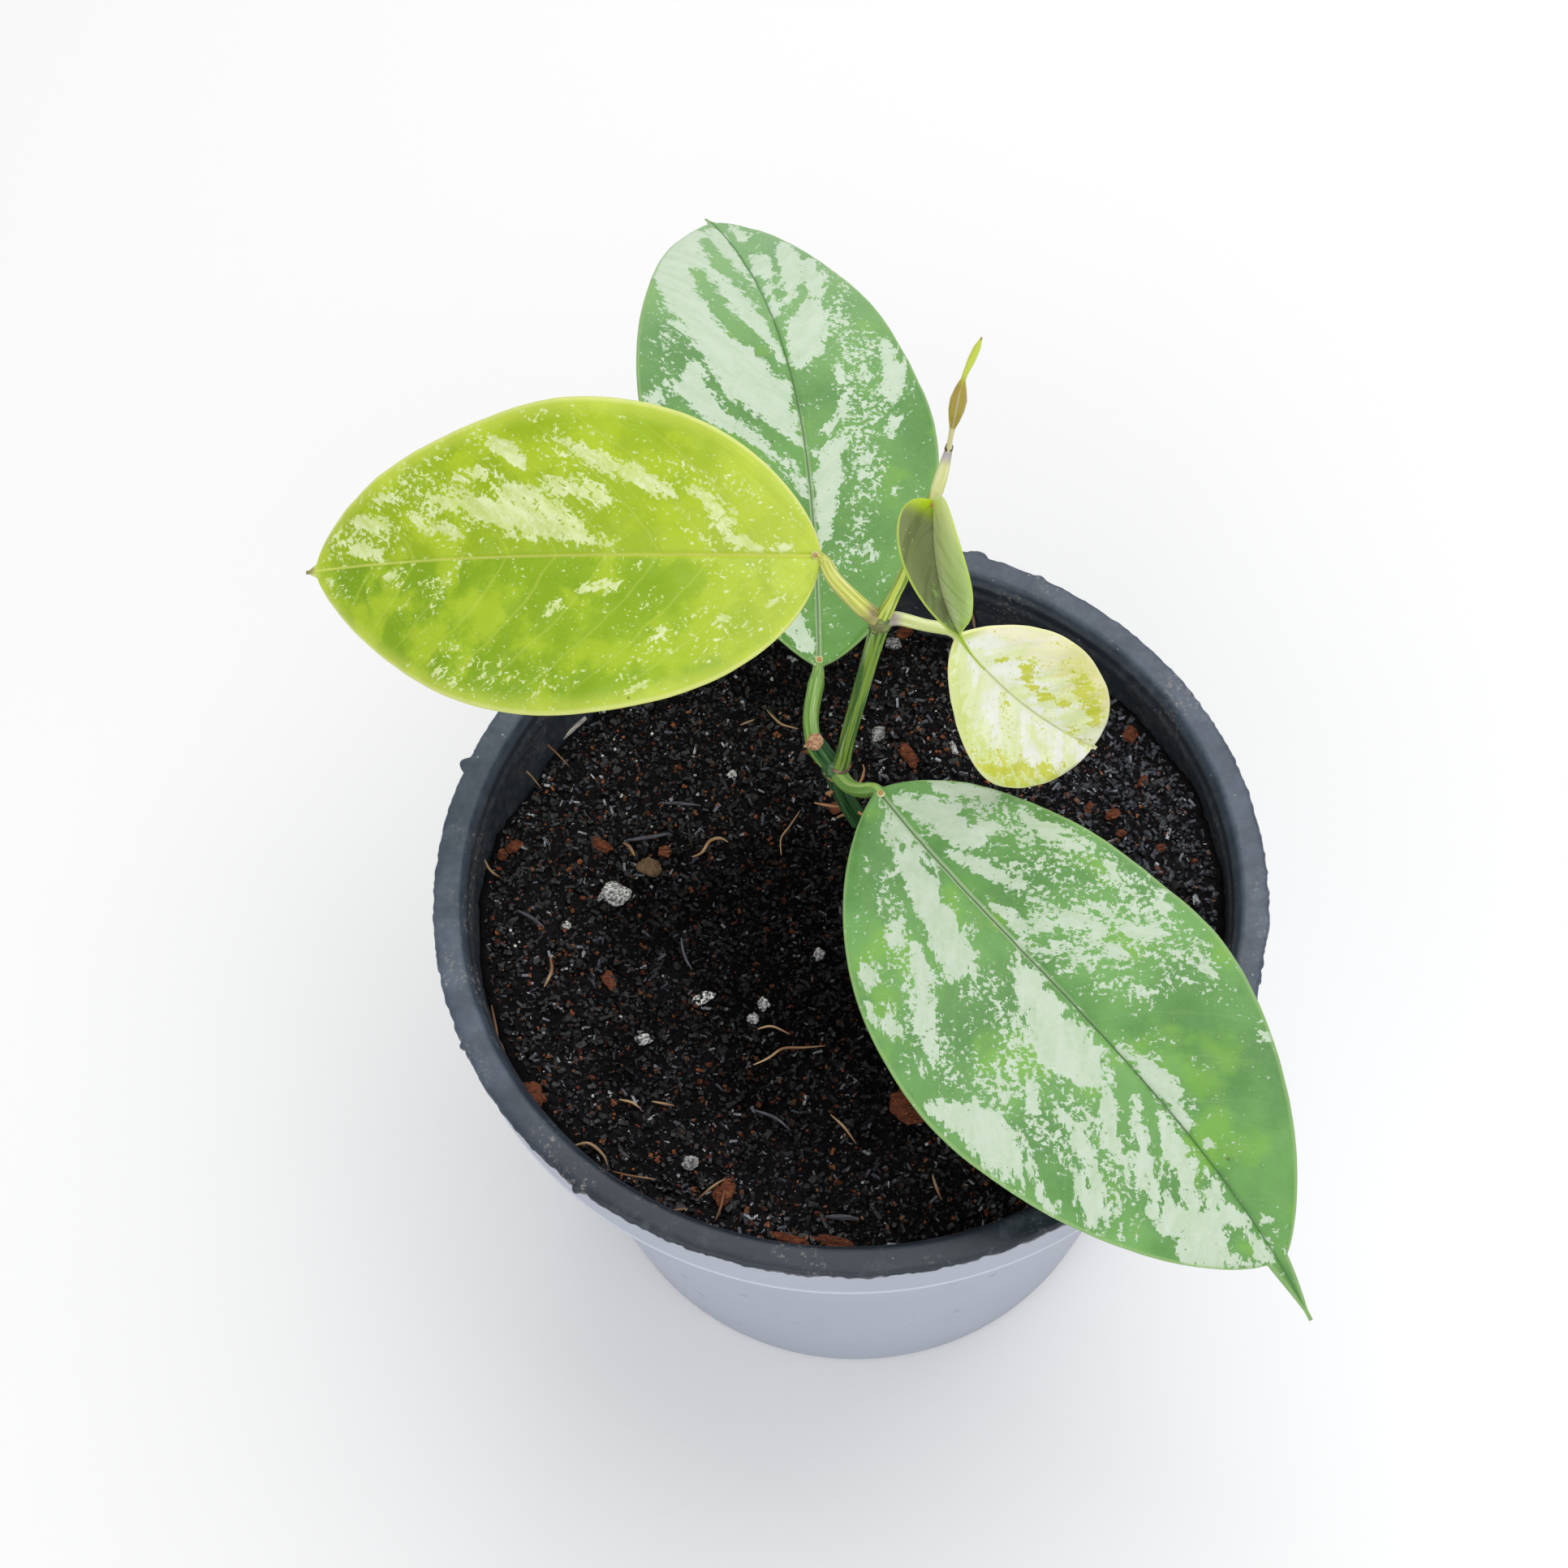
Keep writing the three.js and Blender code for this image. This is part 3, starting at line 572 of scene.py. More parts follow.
chalk = Finish("perlite", Roughness=0.85, Specular_IOR_Level=0.2)
pore = chalk.rise(chalk.cloud(0.6, 5, 0.7, stretch=(1, 0.7, 1)), 0.37, 0.52)
chalk.tone = chalk.over(pore, (70, 72, 84), (232, 230, 226))
soaked = chalk.cloud(14, 2)
chalk.lay(chalk.rise(soaked, 0.44, 0.62), (120, 120, 128), 0.55)
chalk.give(Normal=chalk.relief(pore, 0.25))
PERLITE = [
    (-43.6, 2.9, 2.2, 1.25, 0.85, 20, 2), (-16, -19.5, 1.1, 1, 0.8, 60, 5, 0.4),
    (-6, -9.5, 1, 1.2, 0.7, 40, 8, 0.4), (-28.8, -49.8, 1.25, 1.1, 0.8, 0, 11),
    (6.5, 39.4, 1.3, 1.3, 0.7, 80, 14, 0.4), (10.2, 62.2, 1.3, 1.2, 0.7, 10, 17),
    (21, 36.1, 0.7, 2.2, 0.7, -70, 38), (-37.7, -26.2, 1, 1.5, 0.5, 0, 20), (-26.9, -17.7, 1, 2, 0.4, 20, 23),
    (-17.8, -22.6, 1.1, 0.9, 0.8, 110, 26), (24.5, -62.8, 1.5, 1.2, 0.7, 0, 29),
    (-51.9, -4.2, 0.9, 1, 0.8, 100, 32), (-21.8, 30.2, 0.8, 1.2, 0.6, 30, 35)]
settle(shape("mix_perlite", gather([nugget(*grain) for grain in PERLITE]), chalk), "potting_mix")

chip = grained("bark_chip", dark=(48, 26, 20), light=(146, 82, 54), between=(0.36, 0.6), deep=0.5,
               grain=(0.7, 7, 0.75, 0.5), stretch=(1.6, 0.4, 0.5), Roughness=0.8, Specular_IOR_Level=0.25)
chip.lay(chip.rise(chip.cloud(1.2, 4, 0.7), 0.56, 0.7), (184, 122, 76))
chip.give()
BARK = [
    (12.3, 33.7, 1.25, 2.2, 0.5, -58, 3), (12.6, 65, 1.3, 1.5, 0.6, 30, 45),
    (9.3, -40.1, 2.6, 1.3, 0.6, -60, 6), (-56.4, -37.7, 1.6, 1.7, 0.6, -50, 9),
    (-46.3, 14, 1.1, 2.1, 0.7, -35, 12), (-62.4, 13.3, 1.2, 1.3, 0.7, 30, 15),
    (-64.6, 11.8, 0.9, 1.2, 0.8, 70, 18), (-43.9, -14.8, 1.1, 1.7, 0.7, -60, 21),
    (-22.9, -55.2, 1.6, 1.8, 0.4, 70, 24), (-34.2, 12.4, 1.1, 1.1, 0.8, 0, 27),
    (-2, 21.6, 1.2, 1, 0.9, 0, 30), (-11.7, -64.3, 1, 3.2, 0.5, -20, 33),
    (-4.3, -64.6, 1.1, 3.4, 0.5, -15, 36), (44, 52, 1.7, 1.2, 0.8, 60, 39), (31, -60, 1.4, 1.6, 0.6, 20, 42),
    (54.5, 34.5, 1.3, 1.3, 0.6, 80, 46), (55.9, 23.3, 0.8, 1.7, 0.6, 70, 48),
    (49.8, 17.3, 1.15, 1.2, 0.5, 20, 50), (51.1, 12.8, 0.8, 1.2, 0.7, 0, 52),
    (57.8, 8.4, 0.75, 1.3, 0.7, 40, 54), (45.8, 19.4, 0.8, 1.4, 0.6, 60, 57)]
settle(shape("mix_bark_chips", gather([nugget(*flake) for flake in BARK]), chip), "potting_mix")

tuft = grained("husk_tuft", dark=(48, 38, 32), light=(172, 140, 104), between=(0.35, 0.68), deep=0.4,
               grain=(0.5, 5, 0.75, 1.5), stretch=(0.3, 0.9, 0.4), Roughness=0.85, Specular_IOR_Level=0.2)
husk_tuft = shape("mix_husk_tuft", nugget(-37.2, 9.4, 1.75, 1.3, 0.7, -20, 51, 0.3), tuft)
settle(husk_tuft, "potting_mix")


# Root fibres, splinters and the white stick. Dry tan and brown fibres curl on the mix and up the pot's wall,
# with dark splinters of husk and one weathered white stick. Each is a thin tapered rod along its own line.
def through(points, steps):
    """Smooth line through the points, evenly spaced along it."""
    points = np.asarray(points, float)
    ends = np.vstack([2 * points[0] - points[1], points, 2 * points[-1] - points[-2]])
    line = []
    for n in range(len(points) - 1):
        a, b, c, d = ends[n:n + 4]
        t = np.linspace(0, 1, 24, endpoint=False)[:, None]
        line.append(0.5 * (2 * b + (c - a) * t + (2 * a - 5 * b + 4 * c - d) * t ** 2
                           + (3 * b - a - 3 * c + d) * t ** 3))
    line = np.vstack(line + [points[-1:]])
    gone = np.r_[0, np.cumsum(np.linalg.norm(np.diff(line, axis=0), axis=1))]
    even = np.linspace(0, gone[-1], steps)
    return np.stack([np.interp(even, gone, line[:, n]) for n in range(3)], -1), even


def rod(points, radii, steps, sides, ribs=0, rib_deep=0, twist=0, flat=1):
    """Skin of a rod along the points, its radius running through the radii, with the layer for its grain."""
    line, gone = through(points, steps)
    radius = np.interp(np.linspace(0, 1, steps), np.linspace(0, 1, len(radii)), radii)
    ahead = np.gradient(line, axis=0)
    ahead /= np.linalg.norm(ahead, axis=1)[:, None]
    normal = np.cross(ahead[0], (0.13, 0.21, 1.0) if abs(ahead[0, 2]) < 0.9 else (1.0, 0.1, 0.0))
    around = turns(sides)
    rings, laid = [], []
    for n in range(steps):
        normal = normal - ahead[n] * np.dot(normal, ahead[n])
        normal /= np.linalg.norm(normal)
        second = np.cross(ahead[n], normal)
        reach = radius[n] * (1 + rib_deep * np.cos(ribs * around + twist * gone[n]))
        rings.append(line[n] + np.outer(reach * np.cos(around), normal)
                     + np.outer(reach * np.sin(around) * flat, second))
        laid.append(np.c_[np.full(sides, gone[n]), radius[n] * np.cos(around), radius[n] * np.sin(around)])
    return *loft(rings), np.vstack([*laid, [[0, 0, 0]], [[gone[-1], 0, 0]]])


def rods_of(lines, sides):
    """Thin rods, tapered at both ends, as one skin."""
    taper = (0.4, 0.85, 1, 0.85, 0.35)
    return gather([rod(points, [radius * part for part in taper], 22, sides) for points, radius in lines])


def lying(spots, lift=0.45):
    """Puts flat spots on top of the mix, with a lift for each or one for all."""
    lifts = np.broadcast_to(lift, len(spots))
    return [(x, y, float(mix_top(x, y)) + up) for (x, y), up in zip(spots, lifts)]


FIBRES = [
    (lying([(-29.1, 10.8), (-27.3, 11.6), (-25.8, 13.9), (-23.9, 14.9), (-22.4, 14.5)],
     (0.6, 0.8, 1.6, 1.4, 0.6)), 0.34),
    (lying([(-18.6, -32), (-15.2, -30.6), (-12.5, -28.8), (-8.9, -28.5), (-5, -27.9)],
     (0.3, 0.9, 1.3, 1.1, 0.4)), 0.24),
    (lying([(-17.8, -25), (-14.6, -24.2), (-11.3, -25.4)], (0.5, 1, 0.5)), 0.2),
    (lying([(-41.6, -38), (-39.4, -38.5), (-37.7, -39.8)], 0.8), 0.24),
    (lying([(-35.8, -38.3), (-31.8, -39.3)], 0.7), 0.22),
    (lying([(-49.4, -47.3), (-46.6, -46.8), (-44.2, -48.5), (-43.2, -50.5)], (1.2, 1.6, 1.3, 0.6)), 0.3),
    (lying([(-42.4, -51.5), (-39.4, -52.1), (-35.1, -52.6)], 0.9), 0.22),
    (lying([(-27.6, -56.3), (-24.8, -54.4), (-22.8, -53.5)], (0.5, 1.2, 1.6)), 0.24),
    (lying([(-24.5, -60.6), (-23.6, -58.4), (-22.9, -55.4)], (0.5, 1, 1.4)), 0.26),
    (lying([(-32.2, -58.5), (-29.2, -58.2)], 0.8), 0.2),
    (lying([(13.1, -53.5), (13.7, -55.8), (14.5, -58)], (1.3, 1.1, 0.5)), 0.28),
    (lying([(-4.3, -41.2), (-2, -43.8), (0.1, -46.9)], (0.5, 1, 0.5)), 0.24),
    (lying([(-8.8, 21.3), (-10.9, 17.8), (-12.5, 15.6), (-12.5, 11.9)], (1, 1.3, 0.8, 0.4)), 0.2),
    (lying([(-2, 18.8), (-0.5, 19.1), (1.6, 18.9)], (1.4, 1.7, 1.4)), 0.3),
    (lying([(-15.1, 45.2), (-13.5, 42.7), (-11.9, 41.4), (-9, 41)], (1.2, 1.5, 1.2, 0.5)), 0.24),
    (lying([(-20.2, 41.7), (-17.4, 42.8)], 0.8), 0.24),
    (lying([(-54.7, -10.3), (-54.2, -13.4), (-55.4, -16.8)], (0.8, 1.2, 0.8)), 0.34),
    (lying([(-42.1, 14.4), (-40.9, 13.4), (-39.9, 11.5)], 1), 0.36),
    ([(-61.6, 42.2, 98.5), (-58.6, 38.4, 97.6), (-55.2, 34.7, 97.4), (-53.1, 32.4, 96.8)], 0.22),
    ([(-64.2, 33.2, 98.6), (-60.6, 30.2, 98.2), (-58.2, 27.3, 97.4)], 0.2),
    ([(-67.3, 8.9, 103), (-66.4, 7.5, 101.6), (-64.7, 6.6, 100.2)], 0.26),
    (lying([(-64.8, -20.1), (-64.1, -23.2), (-63.4, -26.1)], (1.3, 1.1, 0.7)), 0.24),
    (lying([(-63.2, -26.8), (-62.7, -28), (-61.9, -29.6)], (1.3, 1.1, 0.6)), 0.28),
    ([(25.7, 62.8, 101), (26, 62.3, 99), (26.4, 61.7, 96.3)], 0.3)]
SPLINTERS = [
    (lying([(-41.6, 15), (-37.4, 15.8), (-33.4, 16.7)], 0.9), 0.4),
    (lying([(-35.7, 24.6), (-31.5, 24), (-27.9, 23.1)], 0.7), 0.34),
    (lying([(-60.9, -1.1), (-58.4, -2.6), (-55.9, -4.6)], 0.9), 0.36),
    (lying([(-5.6, -60.1), (-2.4, -60.2), (0.2, -60.6)], 0.9), 0.55),
    (lying([(-31, -6), (-30.4, -9.5), (-29, -12.3)], 0.8), 0.3),
    (lying([(-18, -40), (-14, -41.6), (-11.6, -43.8)], 0.8), 0.3)]
STICK = lying([(-55.1, 40.2), (-52.8, 42.8), (-50.7, 45)], (0.7, 1.0, 1.0))

straw = Finish("root_fibre", Roughness=0.6, Specular_IOR_Level=0.35)
streak = straw.cloud(1, 4, 0.6, on="laid", stretch=(2.5, 0.2, 0.2))
straw.tone = straw.over(straw.rise(straw.cloud(9, 2), 0.35, 0.65), (140, 98, 68), (204, 172, 130))
straw.lay(streak, (84, 54, 36), 0.5)
straw.give(Normal=straw.relief(streak, 0.08))
settle(shape("mix_root_fibres", rods_of(FIBRES, 8), straw), "potting_mix")

splint = grained("charred_splinter", dark=(40, 40, 46), light=(96, 98, 108), between=(0.3, 0.7), deep=0.15,
                 grain=(1, 4, 0.7), on="laid", stretch=(3, 0.25, 0.25), Roughness=0.5, Specular_IOR_Level=0.5)
settle(shape("mix_splinters", rods_of(SPLINTERS, 6), splint, smooth=False), "potting_mix")

bleached = grained("bleached_stick", dark=(120, 112, 108), light=(214, 208, 202), between=(0.3, 0.62),
                   deep=0.15, grain=(1, 5, 0.7), on="laid", stretch=(3, 0.4, 0.4), Roughness=0.7,
                   Specular_IOR_Level=0.3)
white_stick = rod(STICK, [0.5, 0.75, 0.7, 0.55], 24, 12, 3, 0.12)
settle(shape("mix_white_stick", white_stick, bleached), "potting_mix")


# The rooted cutting. A short dark green old stem that comes up out of the mix and bends to the left, with a
# swollen node, the stub above it that was cut off and has callused tan, and a few wiry air roots.
NODE_LOW = (-2, 17.5, 118)
NODE_MID = (6.5, 17.4, 165)
NODE_TOP = (16.4, 14, 213.4)


def near_points(points, spots, reach):
    """1 at the spots, falling to 0 about reach away from them."""
    away = np.min([np.linalg.norm(points - np.array(spot), axis=1) for spot in spots], axis=0)
    return np.exp(-(away / reach) ** 2)


def stem_finish(name, deep, light, sheen, joint_tone):
    """Fleshy stem skin: streaks along it, a paler painted sheen, and the node's own tint at its joints."""
    stem = Finish(name, Roughness=0.42, Specular_IOR_Level=0.5, Coat_Weight=0.15, Coat_Roughness=0.3,
                  Subsurface_Weight=0.08, Subsurface_Scale=0.001)
    streak = stem.cloud(1, 2, 0.5, on="laid", stretch=(24, 0.6, 0.6))
    stem.tone = stem.over(stem.rise(streak, 0.44, 0.56), deep, light)
    # Painted sheen: thin pale streaks and flecks along the stem.
    thin = stem.cloud(1, 2, 0.5, on="laid", stretch=(18, 0.3, 0.3))
    stem.lay(stem.rise(thin, 0.58, 0.64), sheen, 0.65)
    fleck = stem.cloud(0.5, 3, 0.6, on="laid")
    stem.lay(stem.rise(fleck, 0.62, 0.72), sheen, 0.35)
    joint = stem.times(stem.layer("joint"), stem.span(stem.cloud(1.1, 4, 0.7, on="laid"), 0.5, 1.3))
    stem.lay(stem.rise(joint, 0.15, 0.85), joint_tone)
    ridges = stem.relief(stem.cloud(1, on="laid", stretch=(6, 0.25, 0.25)), 0.12)
    stem.give(Normal=stem.relief(stem.cloud(0.28, 3, 0.6, on="laid"), 0.03, ridges))
    return stem


def knob(centre, radius, tall=1, lean=(0, 0, 1), seed=0):
    """A swollen node: a squat lumpy ball round the stem."""
    def reach(out, fall):
        lumps = 0.12 * noise.noise(out * 1.8 + Vector((seed, seed, 0)))
        return radius * (1 + lumps + 0.03 * math.cos(14 * fall) * math.sin(fall))

    points, faces = loft(ball(22, 40, reach) * [1, 1, tall])
    turn = np.array(Vector(lean).normalized().to_track_quat("Z", "Y").to_matrix())
    return points @ turn.T + centre, faces


def stem_piece(name, skins, finish, joints, reach, node):
    """Settles a piece of stem, with the tint of its joints laid on."""
    skin = gather(skins)
    settle(shape(name, skin, finish, joint=near_points(skin[0], joints, reach)), node)


old_bark = stem_finish("old_stem", (34, 74, 40), (62, 112, 56), (112, 146, 112), (88, 120, 74))
foot = rod(
    [(5.5, 20.5, 86), (3.6, 19.6, 92), (1.9, 18.7, 98), (-0.7, 18.4, 107), (-1.7, 17.8, 113), NODE_LOW],
    [1.9, 1.85, 1.8, 1.75, 1.65, 1.7], 60, 40, 5, 0.05)
stub = rod([NODE_LOW, (-3.5, 18.6, 120.8), (-5.2, 19.7, 123.7)], [1.9, 1.55, 1.6, 1.55], 26, 36, 5, 0.04)
swelling = knob((-1.9, 17.5, 118), 2.35, 1.15, (-0.3, 0, 1), 4)
stem_piece("stem_cutting_skin", [foot, stub, (*swelling, swelling[0] - NODE_LOW)], old_bark, [NODE_LOW], 2.6,
           "stem_cutting")

callus = grained("callused_cut", dark=(140, 92, 66), light=(224, 180, 142), between=(0.32, 0.66), deep=0.3,
                 grain=(0.55, 5, 0.7), Roughness=0.8, Specular_IOR_Level=0.25)
cut_face = knob((-5.35, 19.6, 124), 1.66, 0.5, (-0.45, -0.1, 1), 9)
flake = rod([(-6.3, 19.2, 123.6), (-7, 18.9, 123.8), (-7.4, 18.6, 124)], [0.4, 0.3, 0.1], 10, 8)
scar = rod([(-3.9, 16.4, 118.6), (-2.4, 15.3, 117.7), (-0.5, 15.1, 117.5), (0.6, 15.9, 118.1)],
           [0.22, 0.34, 0.3, 0.15], 24, 10)
stub_callus = shape("stem_stub_callus", gather([cut_face, flake[:2], scar[:2]]), callus)
settle(stub_callus, "stem_cutting")

AIR_ROOTS = [
    ([(-0.9, 17.4, 112.4), (1.2, 16.9, 112.6), (2.6, 17.4, 113), (3.4, 19.2, 114.2), (3.2, 20, 115)], 0.3),
    ([(-1.2, 17.2, 110.6), (-3.2, 16.9, 110.4), (-3.6, 17.4, 109)], 0.42),
    ([(-1.5, 17, 111.4), (-2.8, 16.4, 111.6), (-3, 16.2, 110.2)], 0.36),
    ([(0.2, 18, 104.5), (-1.5, 17.6, 104.2), (-4.5, 18.2, 104), (-6, 18.4, 104.4)], 0.3),
    ([(0.9, 18.4, 102.5), (3, 17.2, 101.4), (4.4, 18.6, 99.6)], 0.3)]
wiry = Finish("air_root", Roughness=0.65, Specular_IOR_Level=0.3)
streak = wiry.cloud(1, 4, 0.6, on="laid", stretch=(1.5, 0.2, 0.2))
wiry.tone = wiry.over(streak, (142, 88, 56), (220, 168, 124))
wiry.give(Normal=wiry.relief(streak, 0.08))
settle(shape("stem_air_roots", rods_of(AIR_ROOTS, 10), wiry), "stem_cutting")


# The side shoot. The young stem that grew from the cutting's axil: ribbed, mid green with pale stripes and
# yellower towards its top, with a brown ring scar at each joint and an olive brown blush at each node.
young = stem_finish("young_stem", (72, 110, 48), (138, 170, 66), (164, 190, 156), (126, 118, 80))
lower = rod([(-1.2, 17.1, 118.2), (-0.4, 17.1, 122), (0.9, 17.2, 131), (3.9, 17.6, 149), NODE_MID],
            [1.5, 1.3, 1.3, 1.33, 1.35, 1.4, 1.6], 110, 56, 6, 0.08, 0.02)
mid_knob = knob(NODE_MID, 2.05, 1.1, (0.2, 0, 1), 7)
stem_piece("side_shoot_skin", [lower, (*mid_knob, mid_knob[0] - NODE_MID)], young,
           [(-1, 17.1, 118.4), (6.3, 16.4, 165.2)], 2, "side_shoot")

newest = stem_finish("newest_stem", (130, 162, 46), (204, 218, 82), (214, 226, 158), (118, 116, 84))
upper = rod([NODE_MID, (8.6, 17.5, 172), (10.6, 17.6, 179), (14.4, 16.2, 199), NODE_TOP],
            [1.3, 0.98, 0.92, 0.9, 0.86, 0.78, 0.5], 110, 44, 6, 0.06, 0.02)
stem_piece("side_shoot_top_skin", [upper], newest, [NODE_MID], 1.6, "side_shoot")

papery = stem_finish("node_scale", (92, 64, 58), (140, 104, 84), (176, 150, 130), (110, 84, 78))
collars = gather([knob((-0.95, 17.1, 119.8), 1.8, 0.3, (0.1, 0, 1), 31),
                  knob((6.0, 17.5, 162.9), 1.56, 0.16, (0.2, 0, 1), 35)])
node_scales = shape("side_shoot_node_scales", collars, papery, laid=collars[0] * [0.2, 1, 1],
                    joint=np.zeros(len(collars[0])))
settle(node_scales, "side_shoot")

tip_skin = stem_finish("shoot_tip", (72, 52, 44), (104, 80, 62), (140, 124, 112), (62, 46, 46))
top_knob = knob((16.45, 14, 214.1), 0.62, 1.6, (0.1, 0, 1), 13)
stem_piece("side_shoot_tip", [(*top_knob, top_knob[0] - NODE_TOP)], tip_skin, [NODE_TOP], 1.2, "side_shoot")


# The front leaf. The big mature leaf that hangs over the pot's rim: thick leathery green, splashed silver by
# birth, with a sunken midrib, faint side veins, a drip tip, a keel underneath and a curved stalk with a tan
# gland at its end.
SPLASH_DEPTH = 8


def midrib(leaf, count):
    """Stations along the midrib, with the directions across the blade and up from it."""
    s = np.linspace(0, 1, count)
    heading = np.radians(leaf["heading"] + leaf["turn"] * s + leaf["swing"] * s ** 2)
    pitch = np.radians(leaf["pitch"] + leaf["droop"] * s)
    roll = np.radians(leaf["roll"] + leaf["twist"] * s)[:, None]
    along = np.c_[np.cos(pitch) * np.cos(heading), np.cos(pitch) * np.sin(heading), np.sin(pitch)]
    level = np.c_[-np.sin(heading), np.cos(heading), 0 * s]
    side = level * np.cos(roll) + np.cross(along, level) * np.sin(roll)
    at = leaf["base"] + np.vstack([np.zeros(3), np.cumsum(along[:-1] * leaf["length"] / (count - 1), 0)])
    return s, at, side, np.cross(along, side)


def half_width(leaf, s, hand):
    """Half width of one side at s: the blade's outline with the drip tip that tails off it."""
    half, near, far, belly = leaf[hand]
    body = np.minimum(s / (1 - leaf["tail"]), 1)
    peak = near / (near + far)
    swell = belly * np.sin(2 * np.pi * body) * np.sqrt(np.clip(4 * body * (1 - body), 0, 1))
    edge = half * ((body / peak) ** near * ((1 - body) / (1 - peak)) ** far + swell)
    drip = leaf["tail_half"] * np.minimum((1 - s) / leaf["tail"], 1) * smooth(0.7, 1 - leaf["tail"], s)
    return np.maximum(edge + drip, np.where(s < 0.5, min(0.9, half), 0.3))


def inside(leaf, x, y, strokes):
    """Millimetres by which each spot lies inside the strokes; each stroke runs through (s, u, reach)."""
    deep = np.full(x.shape, -float(SPLASH_DEPTH))
    for stroke in strokes:
        path = []
        for s, u, reach in stroke:
            width = half_width(leaf, np.array([s]), "left" if u > 0 else "right")[0]
            path.append((s * leaf["length"], u * width, reach))
        for (ax, ay, ar), (bx, by, br) in zip(path, path[1:] or path):
            squared = (bx - ax) ** 2 + (by - ay) ** 2 + 1e-9
            t = np.clip(((x - ax) * (bx - ax) + (y - ay) * (by - ay)) / squared, 0, 1)
            away = np.hypot(x - ax - t * (bx - ax), y - ay - t * (by - ay))
            deep = np.maximum(deep, ar + t * (br - ar) - away)
    return deep


def blade(name, leaf, finish):
    """The blade, with its splashes and freckles laid on it as depths in millimetres."""
    rows, columns = leaf.get("grid", (170, 46))
    fine, *course = midrib(leaf, 801)
    t = np.linspace(0, 1, rows)
    s = t - 0.6 * np.sin(2 * np.pi * t) / (2 * np.pi)
    at, side, up = (np.stack([np.interp(s, fine, way[:, n]) for n in range(3)], -1)[:, None]
                    for way in course)
    x = np.linspace(-1, 1, 2 * columns + 1)
    u = (x * (0.35 + 0.65 * np.abs(x)))[None, :]
    hand, across = np.sign(u), np.abs(u)
    s = s[:, None]
    width = np.where(u < 0, half_width(leaf, s, "right"), half_width(leaf, s, "left"))
    reach, y = across * width, u * width
    fold = math.radians(leaf["fold"])
    along = s * leaf["length"]
    lead = along - leaf["vein_lean"] * reach - leaf["vein_curl"] * reach ** 2
    slim = np.minimum(1, width / 9)
    lift = math.sin(fold) * width * across ** leaf["camber"]
    lift = lift - leaf["groove"] * np.exp(-(reach / 0.5) ** 2) * (1 - 0.55 * s)
    between = np.abs(np.sin(np.pi * lead / leaf["vein_gap"] + 0.35 * hand)) ** 0.8
    between = between * smooth(0.02, 0.25, across) * (1 - smooth(0.75, 0.98, across))
    lift = lift + leaf["quilt"] * between * slim
    lift = lift + leaf["wave"] * u * u * np.sin(2 * np.pi * leaf["waves"] * s + hand) * np.sin(np.pi * s)
    broad = np.sin(0.62 * along + 0.31 * y + 1) * np.sin(0.55 * y - 0.2 * along)
    close = np.sin(1.13 * along - 0.5 * y) * np.sin(0.9 * y + 0.4 * along + 2)
    lift = lift + leaf["uneven"] * slim * (broad + 0.6 * close)
    lift = lift - leaf["curl"] * smooth(0.8, 1.0, across) * slim
    tilt = fold * np.tanh(reach / 0.8) * hand
    facing = up * np.cos(tilt)[..., None] - side * np.sin(tilt)[..., None]
    middle = at + side * (hand * reach * math.cos(fold))[..., None] + up * lift[..., None]
    stout = np.minimum(leaf["thick"], 0.9 * width) * (1 - 0.5 * u ** 4)
    top = middle + facing * stout[..., None] / 2
    under = middle - facing * stout[..., None] / 2
    out = side * math.cos(fold) * hand[..., None] + up * math.sin(fold)
    rim = middle + out * (0.35 * stout)[..., None]
    rings = np.concatenate([top, rim[:, -1:], under[:, ::-1], rim[:, :1]], 1)

    def laid(values, below=None):
        """A value for each spot of the blade, on all the points of its skin."""
        values = np.broadcast_to(values, (rows, u.shape[1]))
        below = values if below is None else np.broadcast_to(below, values.shape)
        full = np.concatenate([values, values[:, -1:], below[:, ::-1], values[:, :1]], 1)
        return np.r_[full.ravel(), full[0].mean(), full[-1].mean()]

    deep = np.minimum(inside(leaf, along, y, leaf["splashes"]), -inside(leaf, along, y, leaf.get("gaps", [])))
    freckle = np.clip(inside(leaf, along, y, leaf["freckles"]) / 5, 0, 1)
    deep = np.clip(deep, -SPLASH_DEPTH, SPLASH_DEPTH)
    return shape(name, loft(rings), finish, splash=laid(deep), freckle=laid(freckle),
                 veins=np.c_[laid(lead), laid(reach), laid(hand * 40.0)],
                 spot=np.c_[laid(s), laid(across), laid((1 - across) * width)], underside=laid(0, 1))


def keel(leaf):
    """The midrib's rounded keel under the blade."""
    s, at, _, up = midrib(leaf, 200)
    spots = np.linspace(0, 0.85 * 199, 12).astype(int)
    radius = np.interp(np.linspace(0, 1, 12), np.linspace(0, 1, len(leaf["keel"])), leaf["keel"])
    below = leaf["groove"] * (1 - 0.55 * s[spots]) + leaf["thick"] / 2 + radius - 0.3
    return rod(at[spots] - up[spots] * below[:, None], leaf["keel"], 90, 18)


def gland(name, leaf, size, station=2, lift=0.1):
    """The tan gland that sits on the stalk's end, where the blade starts."""
    _, at, _, up = midrib(leaf, 201)
    spot = at[station] + up[station] * (leaf["thick"] * 0.5 + lift)
    bead = knob(spot + up[2] * 0.1, size * 0.75, 0.5, up[2], 21)
    ring = knob(spot - up[2] * 0.15, size * 1.25, 0.4, up[2], 25)
    tone = np.r_[np.ones(len(bead[0])), np.zeros(len(ring[0]))]
    return shape(name, gather([bead, ring]), gland_finish, bead=tone)


